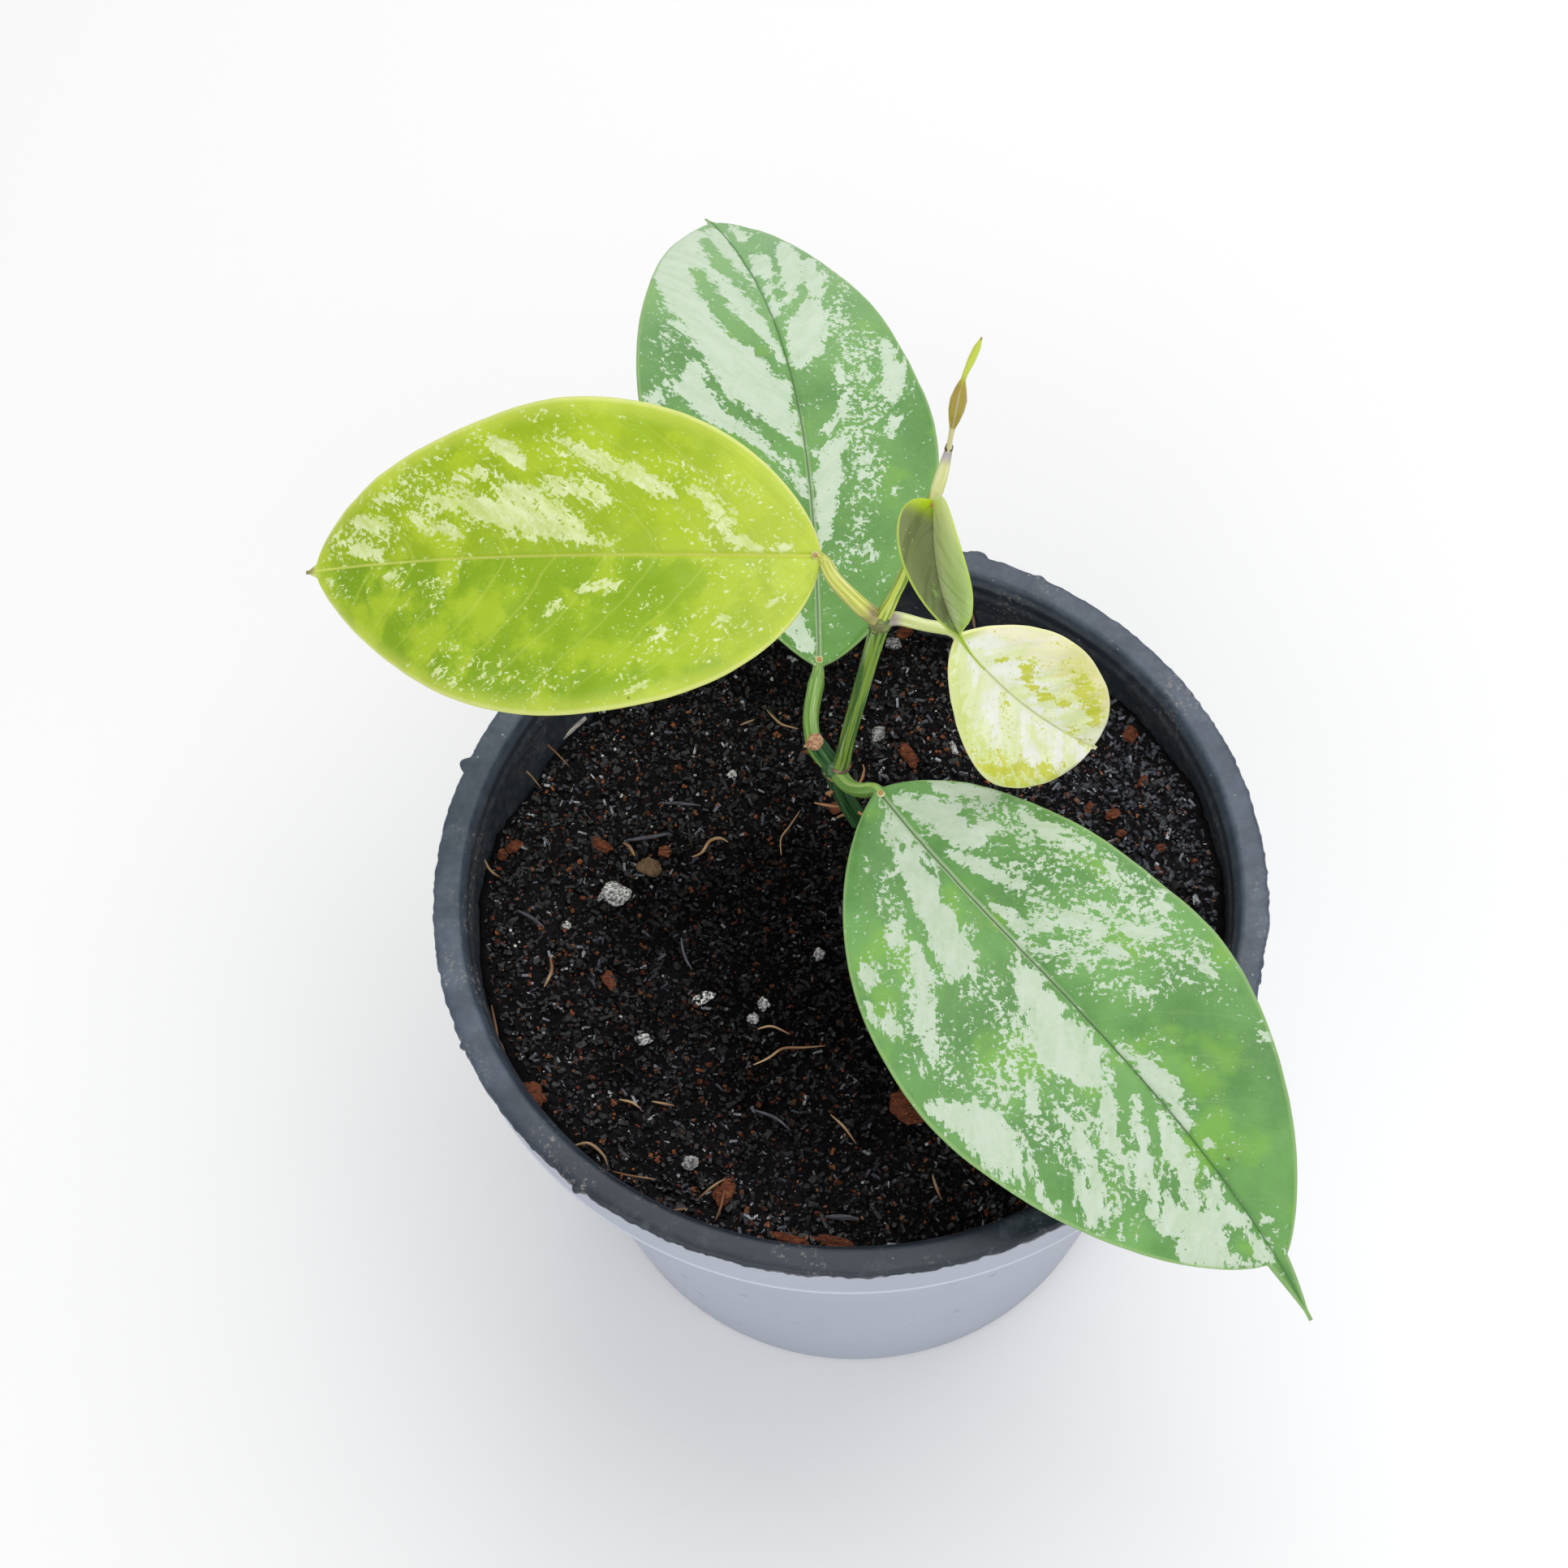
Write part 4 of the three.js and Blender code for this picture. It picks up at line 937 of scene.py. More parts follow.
def leaf_on(node, leaf, finish, stalk_finish):
    """A whole leaf: the blade, the stalk that runs on as its keel, and the gland where they meet."""
    settle(blade(node + "_blade", leaf, finish), node)
    ribbed = rod(leaf["stalk"], leaf["stalk_radii"], 90, 40, 4, 0.07)
    stem_piece(node + "_stalk", [ribbed, keel(leaf)], stalk_finish, [leaf["joint"]], 2.2, node)
    if "gland" in leaf:
        settle(gland(node + "_gland", leaf, *leaf["gland"]), node)


gland_finish = Finish("leaf_gland", Roughness=0.5, Specular_IOR_Level=0.4)
rough = gland_finish.cloud(0.3, 4, 0.6)
gland_finish.tone = gland_finish.over(rough, (146, 100, 58), (218, 172, 116))
gland_finish.tone = gland_finish.over(gland_finish.layer("bead"), (206, 208, 150), gland_finish.tone)
gland_finish.give(Normal=gland_finish.relief(rough, 0.12))


def leaf_finish(name, ground, splash, rib, rim, vein, under, gloss, glow, wash, ragged=0.8, rim_wide=0.7,
                vein_share=0.12, gap=9.5, dry_tip=None, sprinkle=2.3, grain=1):
    """Leather of a leaf: mottled ground, broken splashes along the veins, freckles, rim and underside."""
    skin = Finish(name, Specular_IOR_Level=0.38, Coat_Weight=0.06, Coat_Roughness=0.3, Subsurface_Weight=glow,
                  Subsurface_Scale=0.0012, Subsurface_Radius=(0.6, 1.0, 0.25))
    lead, reach, hand = skin.parts(skin.layer("veins", "Vector"))
    along, aside, inset = skin.parts(skin.layer("spot", "Vector"))
    splash_depth = skin.layer("splash")
    torn = skin.less(skin.cloud(3 * grain, 9, 0.72, on="veins", stretch=(1, 1.1, 1)), 0.5)
    torn = skin.times(torn, skin.span(skin.rise(skin.cloud(15, 2), 0.4, 0.6), 6 * ragged, 22 * ragged))
    dots = skin.times(skin.less(skin.cloud(0.95 * grain, 5, 0.65), 0.5), 15)
    drift = skin.cloud(5, on="veins", stretch=(1, 1.8, 1))
    few = skin.plus(skin.span(skin.layer("freckle"), sprinkle, 0.35), skin.span(drift, 3.4, -3.4))
    splashed = skin.rise(skin.plus(splash_depth, torn, skin.times(dots, 0.3)), -0.08, 0.1)
    freckled = skin.rise(skin.less(dots, few), 0, 0.3)
    unbroken = skin.rise(skin.plus(dots, skin.plus(skin.times(splash_depth, 0.55), 1.5)), -0.3, 0)
    share = skin.times(skin.reckon("MAXIMUM", splashed, freckled), unbroken)

    fine = skin.cloud(1.1, 4, 0.6)
    skin.tone = skin.over(skin.rise(skin.cloud(16), 0.3, 0.7), ground[0], ground[1])
    skin.lay(fine, ground[2], 0.4)
    wash(skin, along, aside, inset, hand)
    wander = skin.span(skin.cloud(9, 2, on="veins"), -1.6, 1.6)
    turn = skin.times(skin.plus(lead, wander), 2 * math.pi / gap)
    line = skin.step("ShaderNodeMath", (0, turn), operation="COSINE")[0]
    line = skin.times(skin.rise(line, 0.965, 0.999), skin.rise(inset, 0.4, 6))
    skin.lay(line, vein, vein_share)
    streak = skin.cloud(1, 4, 0.6, on="veins", stretch=(3, 6, 1))
    silver = skin.over(skin.rise(streak, 0.35, 0.7), splash[0], splash[1])
    skin.lay(share, skin.over(skin.rise(fine, 0.45, 0.75), silver, splash[2], 0.5))
    skin.lay(skin.times(skin.rise(reach, 0.8, 0.3), skin.rise(along, 0.6, 0.25)), rib[1], 0.75)
    skin.lay(skin.rise(reach, 0.32, 0.1), rib[0], 0.75)
    skin.lay(skin.rise(inset, rim_wide, 0.1 * rim_wide), rim, 0.7)
    blemish = skin.rise(skin.cells(11), 0.034, 0.024)
    skin.lay(blemish, (70, 66, 40), 0.55)
    if dry_tip:
        dry = skin.rise(skin.plus(along, skin.span(fine, -0.02, 0.02)), dry_tip, dry_tip + 0.02)
        skin.lay(dry, (122, 108, 78), 0.8)
    underside = skin.layer("underside")
    skin.lay(underside, skin.over(fine, under[0], under[1]))

    dull = skin.span(skin.cloud(4, 5, 0.65), gloss - 0.1, gloss + 0.14)
    pores = skin.relief(skin.cloud(0.32, 3, 0.6), 0.022)
    leather = skin.cloud(1, 3, 0.6, on="veins", stretch=(0.8, 2.2, 1))
    skin.give(Roughness=skin.plus(dull, skin.times(underside, 0.2)), Normal=skin.relief(leather, 0.09, pores))
    return skin


def young_patches(skin, along, aside, inset, hand):
    """A few patches that are still a fresher, yellower green."""
    skin.lay(skin.rise(skin.cloud(13), 0.54, 0.68), (126, 180, 64), 0.6)


LEAF_FRONT = dict(
    base=(5.6, 10.3, 122), length=117.6, left=(26.7, 0.66, 0.88, -0.087), right=(33.8, 0.83, 0.74, 0.024),
    heading=-59, turn=37.3, swing=-43.9, pitch=3.7, droop=-17, roll=0.8, twist=2.9, fold=8, tail=0.092,
    tail_half=1.8, thick=1.1, wave=0.6, waves=4, camber=0.85, groove=0.55, quilt=0.12, uneven=0.1, curl=0.35,
    vein_lean=0.6, vein_curl=0.012, vein_gap=9.5,
    stalk=[NODE_LOW, (0.4, 13.8, 118.2), (2.8, 11.6, 120), (5.3, 10.8, 121.6), (6.6, 9.4, 122)],
    stalk_radii=[1.75, 1.5, 1.4, 1.35, 0.8], joint=NODE_LOW, keel=[0.9, 0.85, 0.75, 0.6, 0.45, 0.3],
    gland=(0.62,),
    splashes=[
        [(0.03, 0.2, 0.8), (0.06, 0.3, 2.2), (0.1, 0.38, 3.4), (0.15, 0.42, 3.8)], [(0.15, 0.5, 2.6),
        (0.168, 0.56, 1.6)], [(0.045, 0.95, 0.8), (0.09, 0.89, 1.2), (0.12, 0.88, 1.4)], [(0.05, 0.8, 0.5),
        (0.09, 0.7, 1)], [(0.182, 0.82, 1), (0.23, 0.82, 2.2), (0.268, 0.85, 1.8)], [(0.268, 0.8, 1.2),
        (0.276, 0.68, 0.6)], [(0.16, 0.15, 0.6), (0.2, 0.21, 1.2), (0.24, 0.27, 1.5), (0.277, 0.34, 0.8)],
        [(0.22, 0.6, 0.8)], [(0.3, 0.3, 1), (0.33, 0.33, 0.6)], [(0.33, 0.88, 1), (0.36, 0.82, 0.8)],
        [(0.52, 0.84, 1), (0.55, 0.78, 0.9)], [(0.31, 0.62, 0.7)], [(0.36, 0.56, 0.8), (0.39, 0.6, 0.6)],
        [(0.43, 0.43, 0.7), (0.46, 0.46, 0.6)], [(0.33, 0.34, 1.4), (0.36, 0.4, 2.5), (0.395, 0.46, 2.2)],
        [(0.41, 0.58, 1.1), (0.44, 0.63, 1.5), (0.452, 0.69, 1)], [(0.265, 0.06, 0.6), (0.3, 0.11, 1.2),
        (0.335, 0.19, 0.9), (0.35, 0.24, 0.5)], [(0.35, 0.04, 0.6), (0.39, 0.08, 0.9), (0.42, 0.13, 0.5)],
        [(0.375, 0.2, 0.6), (0.41, 0.23, 1), (0.44, 0.28, 0.6)], [(0.42, 0.92, 1.3), (0.435, 0.88, 1)],
        [(0.53, 0.38, 0.6)], [(0.66, 0.96, 0.7)], [(0.855, 0.34, 0.5)], [(0.55, 0.02, 0.5),
        (0.585, 0.07, 1.6), (0.63, 0.09, 2.1), (0.66, 0.08, 2), (0.69, 0.03, 0.9)], [(0.725, 0.09, 0.7),
        (0.732, 0.03, 0.6)], [(0.03, -0.06, 0.5), (0.06, -0.1, 1.5), (0.09, -0.15, 2.4), (0.14, -0.2, 2.6),
        (0.2, -0.27, 3), (0.26, -0.3, 3.6), (0.31, -0.36, 3.2)], [(0.135, -0.38, 0.8), (0.138, -0.48, 0.5)],
        [(0.205, -0.53, 1), (0.225, -0.62, 1.7)], [(0.25, -0.51, 1.1), (0.3, -0.6, 1.9), (0.35, -0.7, 2),
        (0.4, -0.79, 1.1)], [(0.235, -0.9, 0.8), (0.255, -0.89, 1.2)], [(0.288, -0.9, 1), (0.315, -0.89, 1.3),
        (0.335, -0.87, 0.9)], [(0.34, -0.03, 0.7), (0.4, -0.12, 3), (0.45, -0.18, 4.8), (0.49, -0.21, 5.4),
        (0.53, -0.2, 4), (0.56, -0.2, 2.2)], [(0.46, -0.55, 0.8), (0.5, -0.63, 1.1)], [(0.5, -0.45, 0.8),
        (0.54, -0.55, 1.2)], [(0.445, -0.95, 1.2), (0.475, -0.88, 2.4), (0.51, -0.83, 3.6), (0.55, -0.83, 4),
        (0.585, -0.87, 2.8), (0.615, -0.91, 1.2)], [(0.57, -0.48, 1), (0.62, -0.55, 1.8), (0.65, -0.58, 1.3)],
        [(0.57, -0.15, 0.8), (0.61, -0.3, 1.6), (0.65, -0.42, 1.4)], [(0.63, -0.58, 1.6), (0.665, -0.64, 2.2),
        (0.69, -0.7, 3.2), (0.712, -0.8, 2.8), (0.716, -0.9, 1.2)], [(0.64, -0.92, 1.3), (0.67, -0.96, 0.8)],
        [(0.66, -0.06, 1), (0.7, -0.14, 2.1), (0.74, -0.22, 2.6), (0.78, -0.36, 1.5)], [(0.62, -0.12, 0.6),
        (0.66, -0.25, 1.8), (0.7, -0.36, 2.3), (0.745, -0.48, 1.1)], [(0.76, -0.08, 1.2), (0.82, -0.2, 2.8),
        (0.86, -0.16, 1.2), (0.89, -0.05, 0.6)], [(0.75, -0.6, 1), (0.79, -0.55, 3.2), (0.83, -0.5, 3.6)],
        [(0.83, -0.72, 3), (0.865, -0.86, 2.8)], [(0.86, -0.68, 2.2), (0.89, -0.75, 1.2)],
        [(0.885, -0.2, 1.2), (0.9, -0.3, 0.8)]],
    gaps=[
        [(0.845, -0.28, 0.7), (0.862, -0.38, 1.5), (0.88, -0.46, 1.2)], [(0.02, 0.45, 1), (0.035, 0.6, 1.2)],
        [(0.16, -0.06, 0.5), (0.22, -0.1, 1.2), (0.3, -0.13, 1.6), (0.36, -0.22, 1.2)], [(0.4, -0.24, 0.5),
        (0.45, -0.36, 1), (0.5, -0.46, 0.9)], [(0.12, 0.6, 0.6), (0.14, 0.52, 0.4)]],
    freckles=[
        [(0.14, 0.78, 5), (0.3, 0.7, 9), (0.5, 0.7, 9)], [(0.2, 0.4, 6), (0.5, 0.35, 6)], [(0.57, 0.8, 5)],
        [(0.65, 0.9, 3)], [(0.15, -0.55, 4), (0.35, -0.75, 6), (0.5, -0.7, 8)], [(0.35, -0.3, 6),
        (0.55, -0.5, 9), (0.7, -0.5, 7)], [(0.15, -0.85, 3), (0.3, -0.85, 3)], [(0.75, -0.85, 5)],
        [(0.87, -0.38, 4)]])
mature = leaf_finish(
    "mature_leaf", ground=((74, 128, 62), (110, 165, 86), (128, 176, 98)),
    splash=((194, 210, 189), (181, 202, 171), (204, 217, 200)), rib=((74, 120, 62), (196, 214, 178)),
    rim=(150, 186, 118), vein=(134, 176, 108), under=((132, 166, 120), (150, 180, 134)), gloss=0.44,
    glow=0.06, wash=young_patches)
stalk_green = stem_finish("leaf_stalk", (106, 150, 66), (148, 184, 92), (184, 208, 142), (96, 124, 66))
leaf_on("leaf_front", LEAF_FRONT, mature, stalk_green)


# The rear leaf. The other mature leaf of the same pair, on a straight stalk that leans back: its splashes run
# out from the midrib in long bands.
LEAF_REAR = dict(
    base=(-4.4, 38.3, 120), length=123.1, left=(32, 0.78, 0.74, 0.033), right=(25.7, 0.71, 0.76, 0.05),
    heading=89.5, turn=7.3, swing=22.4, pitch=11.2, droop=-27.9, roll=11.5, twist=3.6, fold=6, tail=0.03,
    tail_half=1, thick=1.1, wave=0.5, waves=3.5, camber=0.85, groove=0.5, quilt=0.12, uneven=0.1, curl=0.35,
    vein_lean=0.6, vein_curl=0.012, vein_gap=10,
    stalk=[NODE_LOW, (-5.2, 21.6, 118.2), (-6, 25.6, 118.9), (-5.9, 29.5, 119.2), (-4.6, 36.8, 119.6),
           (-4.4, 39.6, 119.7)],
    stalk_radii=[1.7, 1.5, 1.4, 1.4, 1.45, 0.8], joint=NODE_LOW, keel=[0.9, 0.85, 0.75, 0.6, 0.45, 0.3],
    gland=(0.6,),
    splashes=[
        [(0.39, 0.03, 0.8), (0.45, 0.14, 4.2), (0.5, 0.24, 7.2), (0.55, 0.34, 6.6), (0.6, 0.5, 4.6),
        (0.65, 0.58, 4.2), (0.7, 0.63, 4.4), (0.75, 0.68, 5.4), (0.8, 0.74, 6.4), (0.86, 0.76, 6),
        (0.92, 0.75, 4)], [(0.29, 0.03, 0.5), (0.35, 0.15, 1.2), (0.4, 0.34, 2.2), (0.44, 0.55, 3),
        (0.49, 0.68, 3.4), (0.535, 0.63, 2.2)], [(0.46, 0.92, 1), (0.5, 0.82, 1.2)], [(0.585, 0.8, 1.5),
        (0.61, 0.83, 1.2)], [(0.63, 0.7, 1.2), (0.66, 0.75, 1.8), (0.69, 0.77, 1.4)], [(0.57, 0.04, 0.8),
        (0.62, 0.09, 1.5), (0.67, 0.18, 2.6), (0.72, 0.28, 3.2), (0.77, 0.38, 2.6), (0.8, 0.44, 1.2)],
        [(0.77, 0.04, 0.9), (0.83, 0.12, 1.9), (0.88, 0.2, 2.6), (0.93, 0.2, 2.2)], [(0.44, 0.42, 1.2),
        (0.47, 0.36, 1)], [(0.02, 0.3, 1.2), (0.05, 0.5, 2.6), (0.1, 0.62, 3.2)], [(0.16, 0.2, 1.4),
        (0.26, 0.45, 3.4), (0.38, 0.62, 2.6)], [(0.2, -0.1, 0.8), (0.26, -0.1, 2), (0.32, -0.13, 3),
        (0.37, -0.2, 2.4), (0.41, -0.3, 1.6)], [(0.42, -0.18, 0.7), (0.45, -0.32, 1.2), (0.48, -0.36, 1)],
        [(0.56, -0.08, 1.4), (0.6, -0.18, 3.6), (0.64, -0.28, 4.6), (0.69, -0.4, 2.8)], [(0.68, -0.04, 0.9),
        (0.74, -0.08, 1.6), (0.8, -0.16, 2.4), (0.83, -0.24, 2.2)], [(0.72, -0.25, 1.3), (0.76, -0.42, 2),
        (0.8, -0.55, 2.6), (0.83, -0.66, 3), (0.86, -0.85, 1.8)], [(0.475, -0.74, 1.4), (0.51, -0.8, 2.6),
        (0.54, -0.84, 2.6), (0.58, -0.88, 1.6)], [(0.41, -0.66, 0.8), (0.44, -0.75, 1.2)], [(0.19, -0.55, 1),
        (0.205, -0.5, 0.8)], [(0.3, -0.68, 0.5)], [(0.225, -0.42, 0.6)], [(0.9, -0.3, 1.4),
        (0.94, -0.5, 1.2)], [(0.52, -0.5, 0.9), (0.55, -0.6, 0.9)], [(0.5, -0.42, 0.7), (0.53, -0.38, 0.9),
        (0.56, -0.42, 0.7)], [(0.72, -0.55, 1.6), (0.76, -0.66, 2.6), (0.8, -0.76, 2.4)], [(0.33, -0.4, 0.8),
        (0.37, -0.45, 0.8)]],
    gaps=[
        [(0.53, 0.09, 0.8), (0.57, 0.13, 1.4), (0.62, 0.25, 1.4), (0.68, 0.4, 1.7), (0.74, 0.49, 2),
        (0.8, 0.55, 1.6)], [(0.74, 0.14, 0.8), (0.8, 0.26, 1.8), (0.86, 0.36, 2), (0.9, 0.45, 1.6)],
        [(0.34, 0.1, 0.6), (0.4, 0.24, 1.6), (0.45, 0.42, 2.2), (0.475, 0.5, 1.2)]],
    freckles=[
        [(0.08, -0.3, 4), (0.3, -0.42, 6), (0.5, -0.5, 8)], [(0.55, -0.6, 8), (0.75, -0.8, 8)],
        [(0.45, 0.85, 4), (0.8, 0.93, 3)], [(0.45, 0.5, 4)], [(0.62, 0.1, 2), (0.75, 0.25, 3)],
        [(0.86, 0.35, 3)], [(0.25, 0.3, 5)]])


def haze(skin, along, aside, inset, hand):
    """Fresh green by the stalk, hazed over towards the tip."""
    skin.lay(skin.rise(along, 0.45, 0.05), (98, 152, 54), 0.5)
    young_patches(skin, along, aside, inset, hand)
    skin.lay(skin.rise(along, 0.4, 0.95), (162, 198, 154), 0.5)


# Painted light: this is the front leaf's finish made a little paler for the rear leaf, which leans back.
rear_paler_copy = leaf_finish(
    "mature_leaf_rear", ground=((76, 132, 60), (112, 166, 84), (132, 180, 102)),
    splash=((204, 221, 198), (192, 213, 183), (214, 227, 210)), rib=((78, 124, 66), (196, 214, 178)),
    rim=(156, 190, 124), vein=(134, 176, 108), under=((132, 166, 120), (150, 180, 134)), gloss=0.46,
    glow=0.06, wash=haze)
leaf_on("leaf_rear", LEAF_REAR, rear_paler_copy, stalk_green)


# The left leaf. A younger leaf of the shoot, still lime green and softer, with a yellow margin, clear pale
# side veins and its pale splashes mostly on the far half.
LEAF_LEFT = dict(
    base=(-3, 27.2, 170), length=96.3, left=(27.4, 0.57, 0.75, -0.042), right=(26.2, 0.64, 0.78, 0.021),
    heading=176.3, turn=-17, swing=6.9, pitch=-0.9, droop=-25, roll=-23.4, twist=-11.4, fold=5, tail=0.03,
    tail_half=1.2, thick=1.0, wave=0.7, waves=3, camber=0.85, groove=0.5, quilt=0.26, uneven=0.12, curl=0.3,
    vein_lean=0.55, vein_curl=0.02, vein_gap=9,
    stalk=[NODE_MID, (4, 18, 167.4), (1.4, 19.9, 169), (-1, 22.4, 170.2), (-2.4, 25.9, 170),
           (-3.6, 27.6, 169.9)],
    stalk_radii=[1.6, 1.5, 1.4, 1.3, 1.25, 0.7], joint=(4.9, 17.8, 166.8),
    keel=[0.85, 0.8, 0.7, 0.55, 0.4, 0.28], gland=(0.55,),
    splashes=[
        [(0.46, 0.77, 0.6), (0.482, 0.79, 0.9)], [(0.29, 0.87, 0.4), (0.32, 0.91, 0.5)], [(0.125, 0.63, 0.5)],
        [(0.163, 0.62, 0.5)], [(0.46, 0.31, 0.8), (0.485, 0.35, 0.6)], [(0.35, 0.22, 0.4), (0.39, 0.22, 0.5)],
        [(0.413, 0.23, 0.5)], [(0.715, 0.17, 0.4), (0.74, 0.17, 0.5)], [(0.78, 0.18, 0.6)],
        [(0.937, 0.35, 0.7)], [(0.8, 0.11, 0.4)], [(0.16, 0.55, 0.3)], [(0.05, -0.12, 0.4), (0.1, -0.07, 0.8),
        (0.14, -0.1, 1.2), (0.17, -0.2, 1.1)], [(0.16, -0.31, 0.7), (0.19, -0.4, 0.9), (0.23, -0.48, 0.5)],
        [(0.26, -0.42, 0.8), (0.3, -0.47, 1.5), (0.35, -0.56, 1.6), (0.4, -0.62, 1.1), (0.44, -0.7, 0.7),
        (0.47, -0.74, 0.5)], [(0.365, -0.33, 0.6), (0.4, -0.4, 1.1), (0.45, -0.42, 1.5), (0.49, -0.42, 1.1)],
        [(0.365, -0.04, 0.5), (0.42, -0.11, 1.2), (0.47, -0.18, 2), (0.53, -0.23, 2.8), (0.58, -0.3, 2.8),
        (0.63, -0.4, 2.3), (0.68, -0.48, 1.6), (0.71, -0.52, 0.8)], [(0.43, -0.2, 0.9), (0.5, -0.36, 1.5),
        (0.56, -0.46, 1.3)], [(0.53, -0.62, 1.2), (0.56, -0.72, 1.7), (0.59, -0.82, 1.2)], [(0.61, -0.6, 0.9),
        (0.65, -0.66, 1.2)], [(0.67, -0.2, 0.8), (0.71, -0.3, 1.2), (0.745, -0.38, 1)], [(0.82, -0.1, 0.9),
        (0.85, -0.2, 1.4), (0.88, -0.27, 1)], [(0.8, -0.36, 1), (0.83, -0.5, 1.5), (0.86, -0.62, 1.2)],
        [(0.78, -0.62, 1), (0.81, -0.72, 1.1)], [(0.7, -0.85, 0.8)], [(0.91, -0.2, 0.9)], [(0.31, 0.62, 0.5),
        (0.27, 0.55, 0.4)], [(0.66, 0.88, 0.6), (0.7, 0.84, 0.6)], [(0.59, 0.82, 0.5)], [(0.085, 0.52, 0.5)]],
    freckles=[
        [(0.04, 0.1, 2), (0.9, 0.5, 1.5)], [(0.27, 0.55, 2), (0.34, 0.82, 3)], [(0.55, 0.75, 3),
        (0.85, 0.75, 3)], [(0.06, -0.4, 3), (0.14, -0.58, 3)], [(0.2, -0.5, 2.5), (0.5, -0.7, 3)],
        [(0.4, -0.2, 3), (0.55, -0.35, 5), (0.75, -0.6, 7)], [(0.75, -0.3, 5), (0.9, -0.5, 5)],
        [(0.85, 0.6, 2)]])


def lime_wash(skin, along, aside, inset, hand):
    """Yellower towards the stalk and the margin, deeper green in clouds and towards the tip."""
    cloud = skin.cloud(9, 4, 0.6)
    skin.lay(skin.times(skin.rise(along, 0.4, 0.8), skin.rise(cloud, 0.62, 0.4)), (122, 160, 8), 0.7)
    skin.lay(skin.rise(cloud, 0.45, 0.62), (176, 202, 42), 0.75)
    skin.lay(skin.rise(hand, 5, -5), (182, 202, 8), 0.35)
    base, margin = skin.rise(along, 0.3, 0), skin.rise(inset, 4, 0.4)
    skin.lay(skin.reckon("MAXIMUM", skin.times(base, 0.55), skin.times(margin, 0.6)), (206, 218, 88))


lime = leaf_finish(
    "lime_leaf", ground=((124, 163, 10), (144, 178, 20), (162, 191, 40)),
    splash=((198, 214, 124), (222, 233, 174), (242, 248, 224)), rib=((226, 232, 116), (186, 204, 56)),
    rim=(222, 228, 140), vein=(190, 206, 84), under=((176, 196, 92), (188, 204, 108)), gloss=0.38, glow=0.12,
    wash=lime_wash, ragged=0.62, rim_wide=0.9, vein_share=0.3, gap=9, dry_tip=0.972, sprinkle=1.85,
    grain=0.85)
stalk_lime = stem_finish("lime_stalk", (182, 188, 70), (214, 216, 118), (240, 240, 200), (128, 98, 96))
leaf_on("leaf_left", LEAF_LEFT, lime, stalk_lime)


# The right leaf. The small new leaf opposite it, broad and almost all cream, hanging with its face to the
# front; olive yellow stays in broken patches near its edges, over a faint yellow flush.
LEAF_RIGHT = dict(
    base=(19.1, 16.1, 162), length=42.7, left=(14.1, 0.57, 0.52, 0.018), right=(13.2, 0.8, 0.66, -0.127),
    heading=-8.6, turn=7.5, swing=0, pitch=-65.5, droop=24.6, roll=54.2, twist=0, fold=13, tail=0.03,
    tail_half=0.7, thick=0.85, wave=0.3, waves=2.5, camber=0.9, groove=0.35, quilt=0.14, uneven=0.12,
    curl=0.2, vein_lean=0.5, vein_curl=0.03, vein_gap=5.5, grid=(120, 30),
    stalk=[NODE_MID, (9.3, 17.3, 165.6), (13.5, 16.2, 165.2), (17.4, 16.1, 163.8), (19.2, 16.1, 161.6)],
    stalk_radii=[1.45, 1.2, 1.1, 1.1, 0.7], joint=(8.4, 17.3, 165.5), keel=[0.6, 0.5, 0.4, 0.3, 0.2],
    splashes=[
        [(0.33, 0.38, 0.5), (0.36, 0.45, 1.1), (0.385, 0.35, 1), (0.42, 0.28, 0.8), (0.48, 0.25, 0.8),
        (0.55, 0.25, 0.7), (0.62, 0.3, 0.6), (0.68, 0.36, 0.6)], [(0.56, 0.72, 0.5), (0.62, 0.68, 0.9),
        (0.7, 0.64, 1.1), (0.76, 0.6, 0.9)], [(0.22, 0.26, 0.4), (0.24, 0.31, 0.3)], [(0.6, 0.8, 0.4),
        (0.68, 0.74, 0.7), (0.74, 0.76, 0.6)], [(0.77, 0.68, 0.8), (0.82, 0.62, 1.5), (0.87, 0.58, 1.1)],
        [(0.84, 0.1, 0.4), (0.88, 0.06, 0.4), (0.92, 0.02, 0.3)], [(0.43, -0.14, 0.3), (0.46, -0.19, 0.3)],
        [(0.55, -0.66, 0.4), (0.61, -0.68, 0.4)], [(0.52, -0.98, 0.6), (0.57, -0.88, 1), (0.63, -0.82, 1.3),
        (0.68, -0.76, 1.1)], [(0.66, -0.72, 0.6), (0.71, -0.7, 1.2), (0.76, -0.72, 1.4), (0.81, -0.76, 1.5),
        (0.86, -0.86, 1.1), (0.88, -0.97, 0.5)], [(0.7, -0.92, 0.7), (0.76, -0.92, 0.8)]],
    gaps=[
        [(0.66, -0.9, 0.7), (0.68, -0.85, 0.4)], [(0.76, -0.84, 0.6), (0.79, -0.88, 0.4)],
        [(0.6, -0.76, 0.3)]],
    freckles=[
        [(0.5, 0.75, 2.5), (0.8, 0.8, 4)], [(0.36, 0.45, 2.5), (0.6, 0.3, 2.5)], [(0.5, -0.85, 3),
        (0.8, -0.75, 4)], [(0.4, -0.15, 2)], [(0.87, 0.1, 2)]])


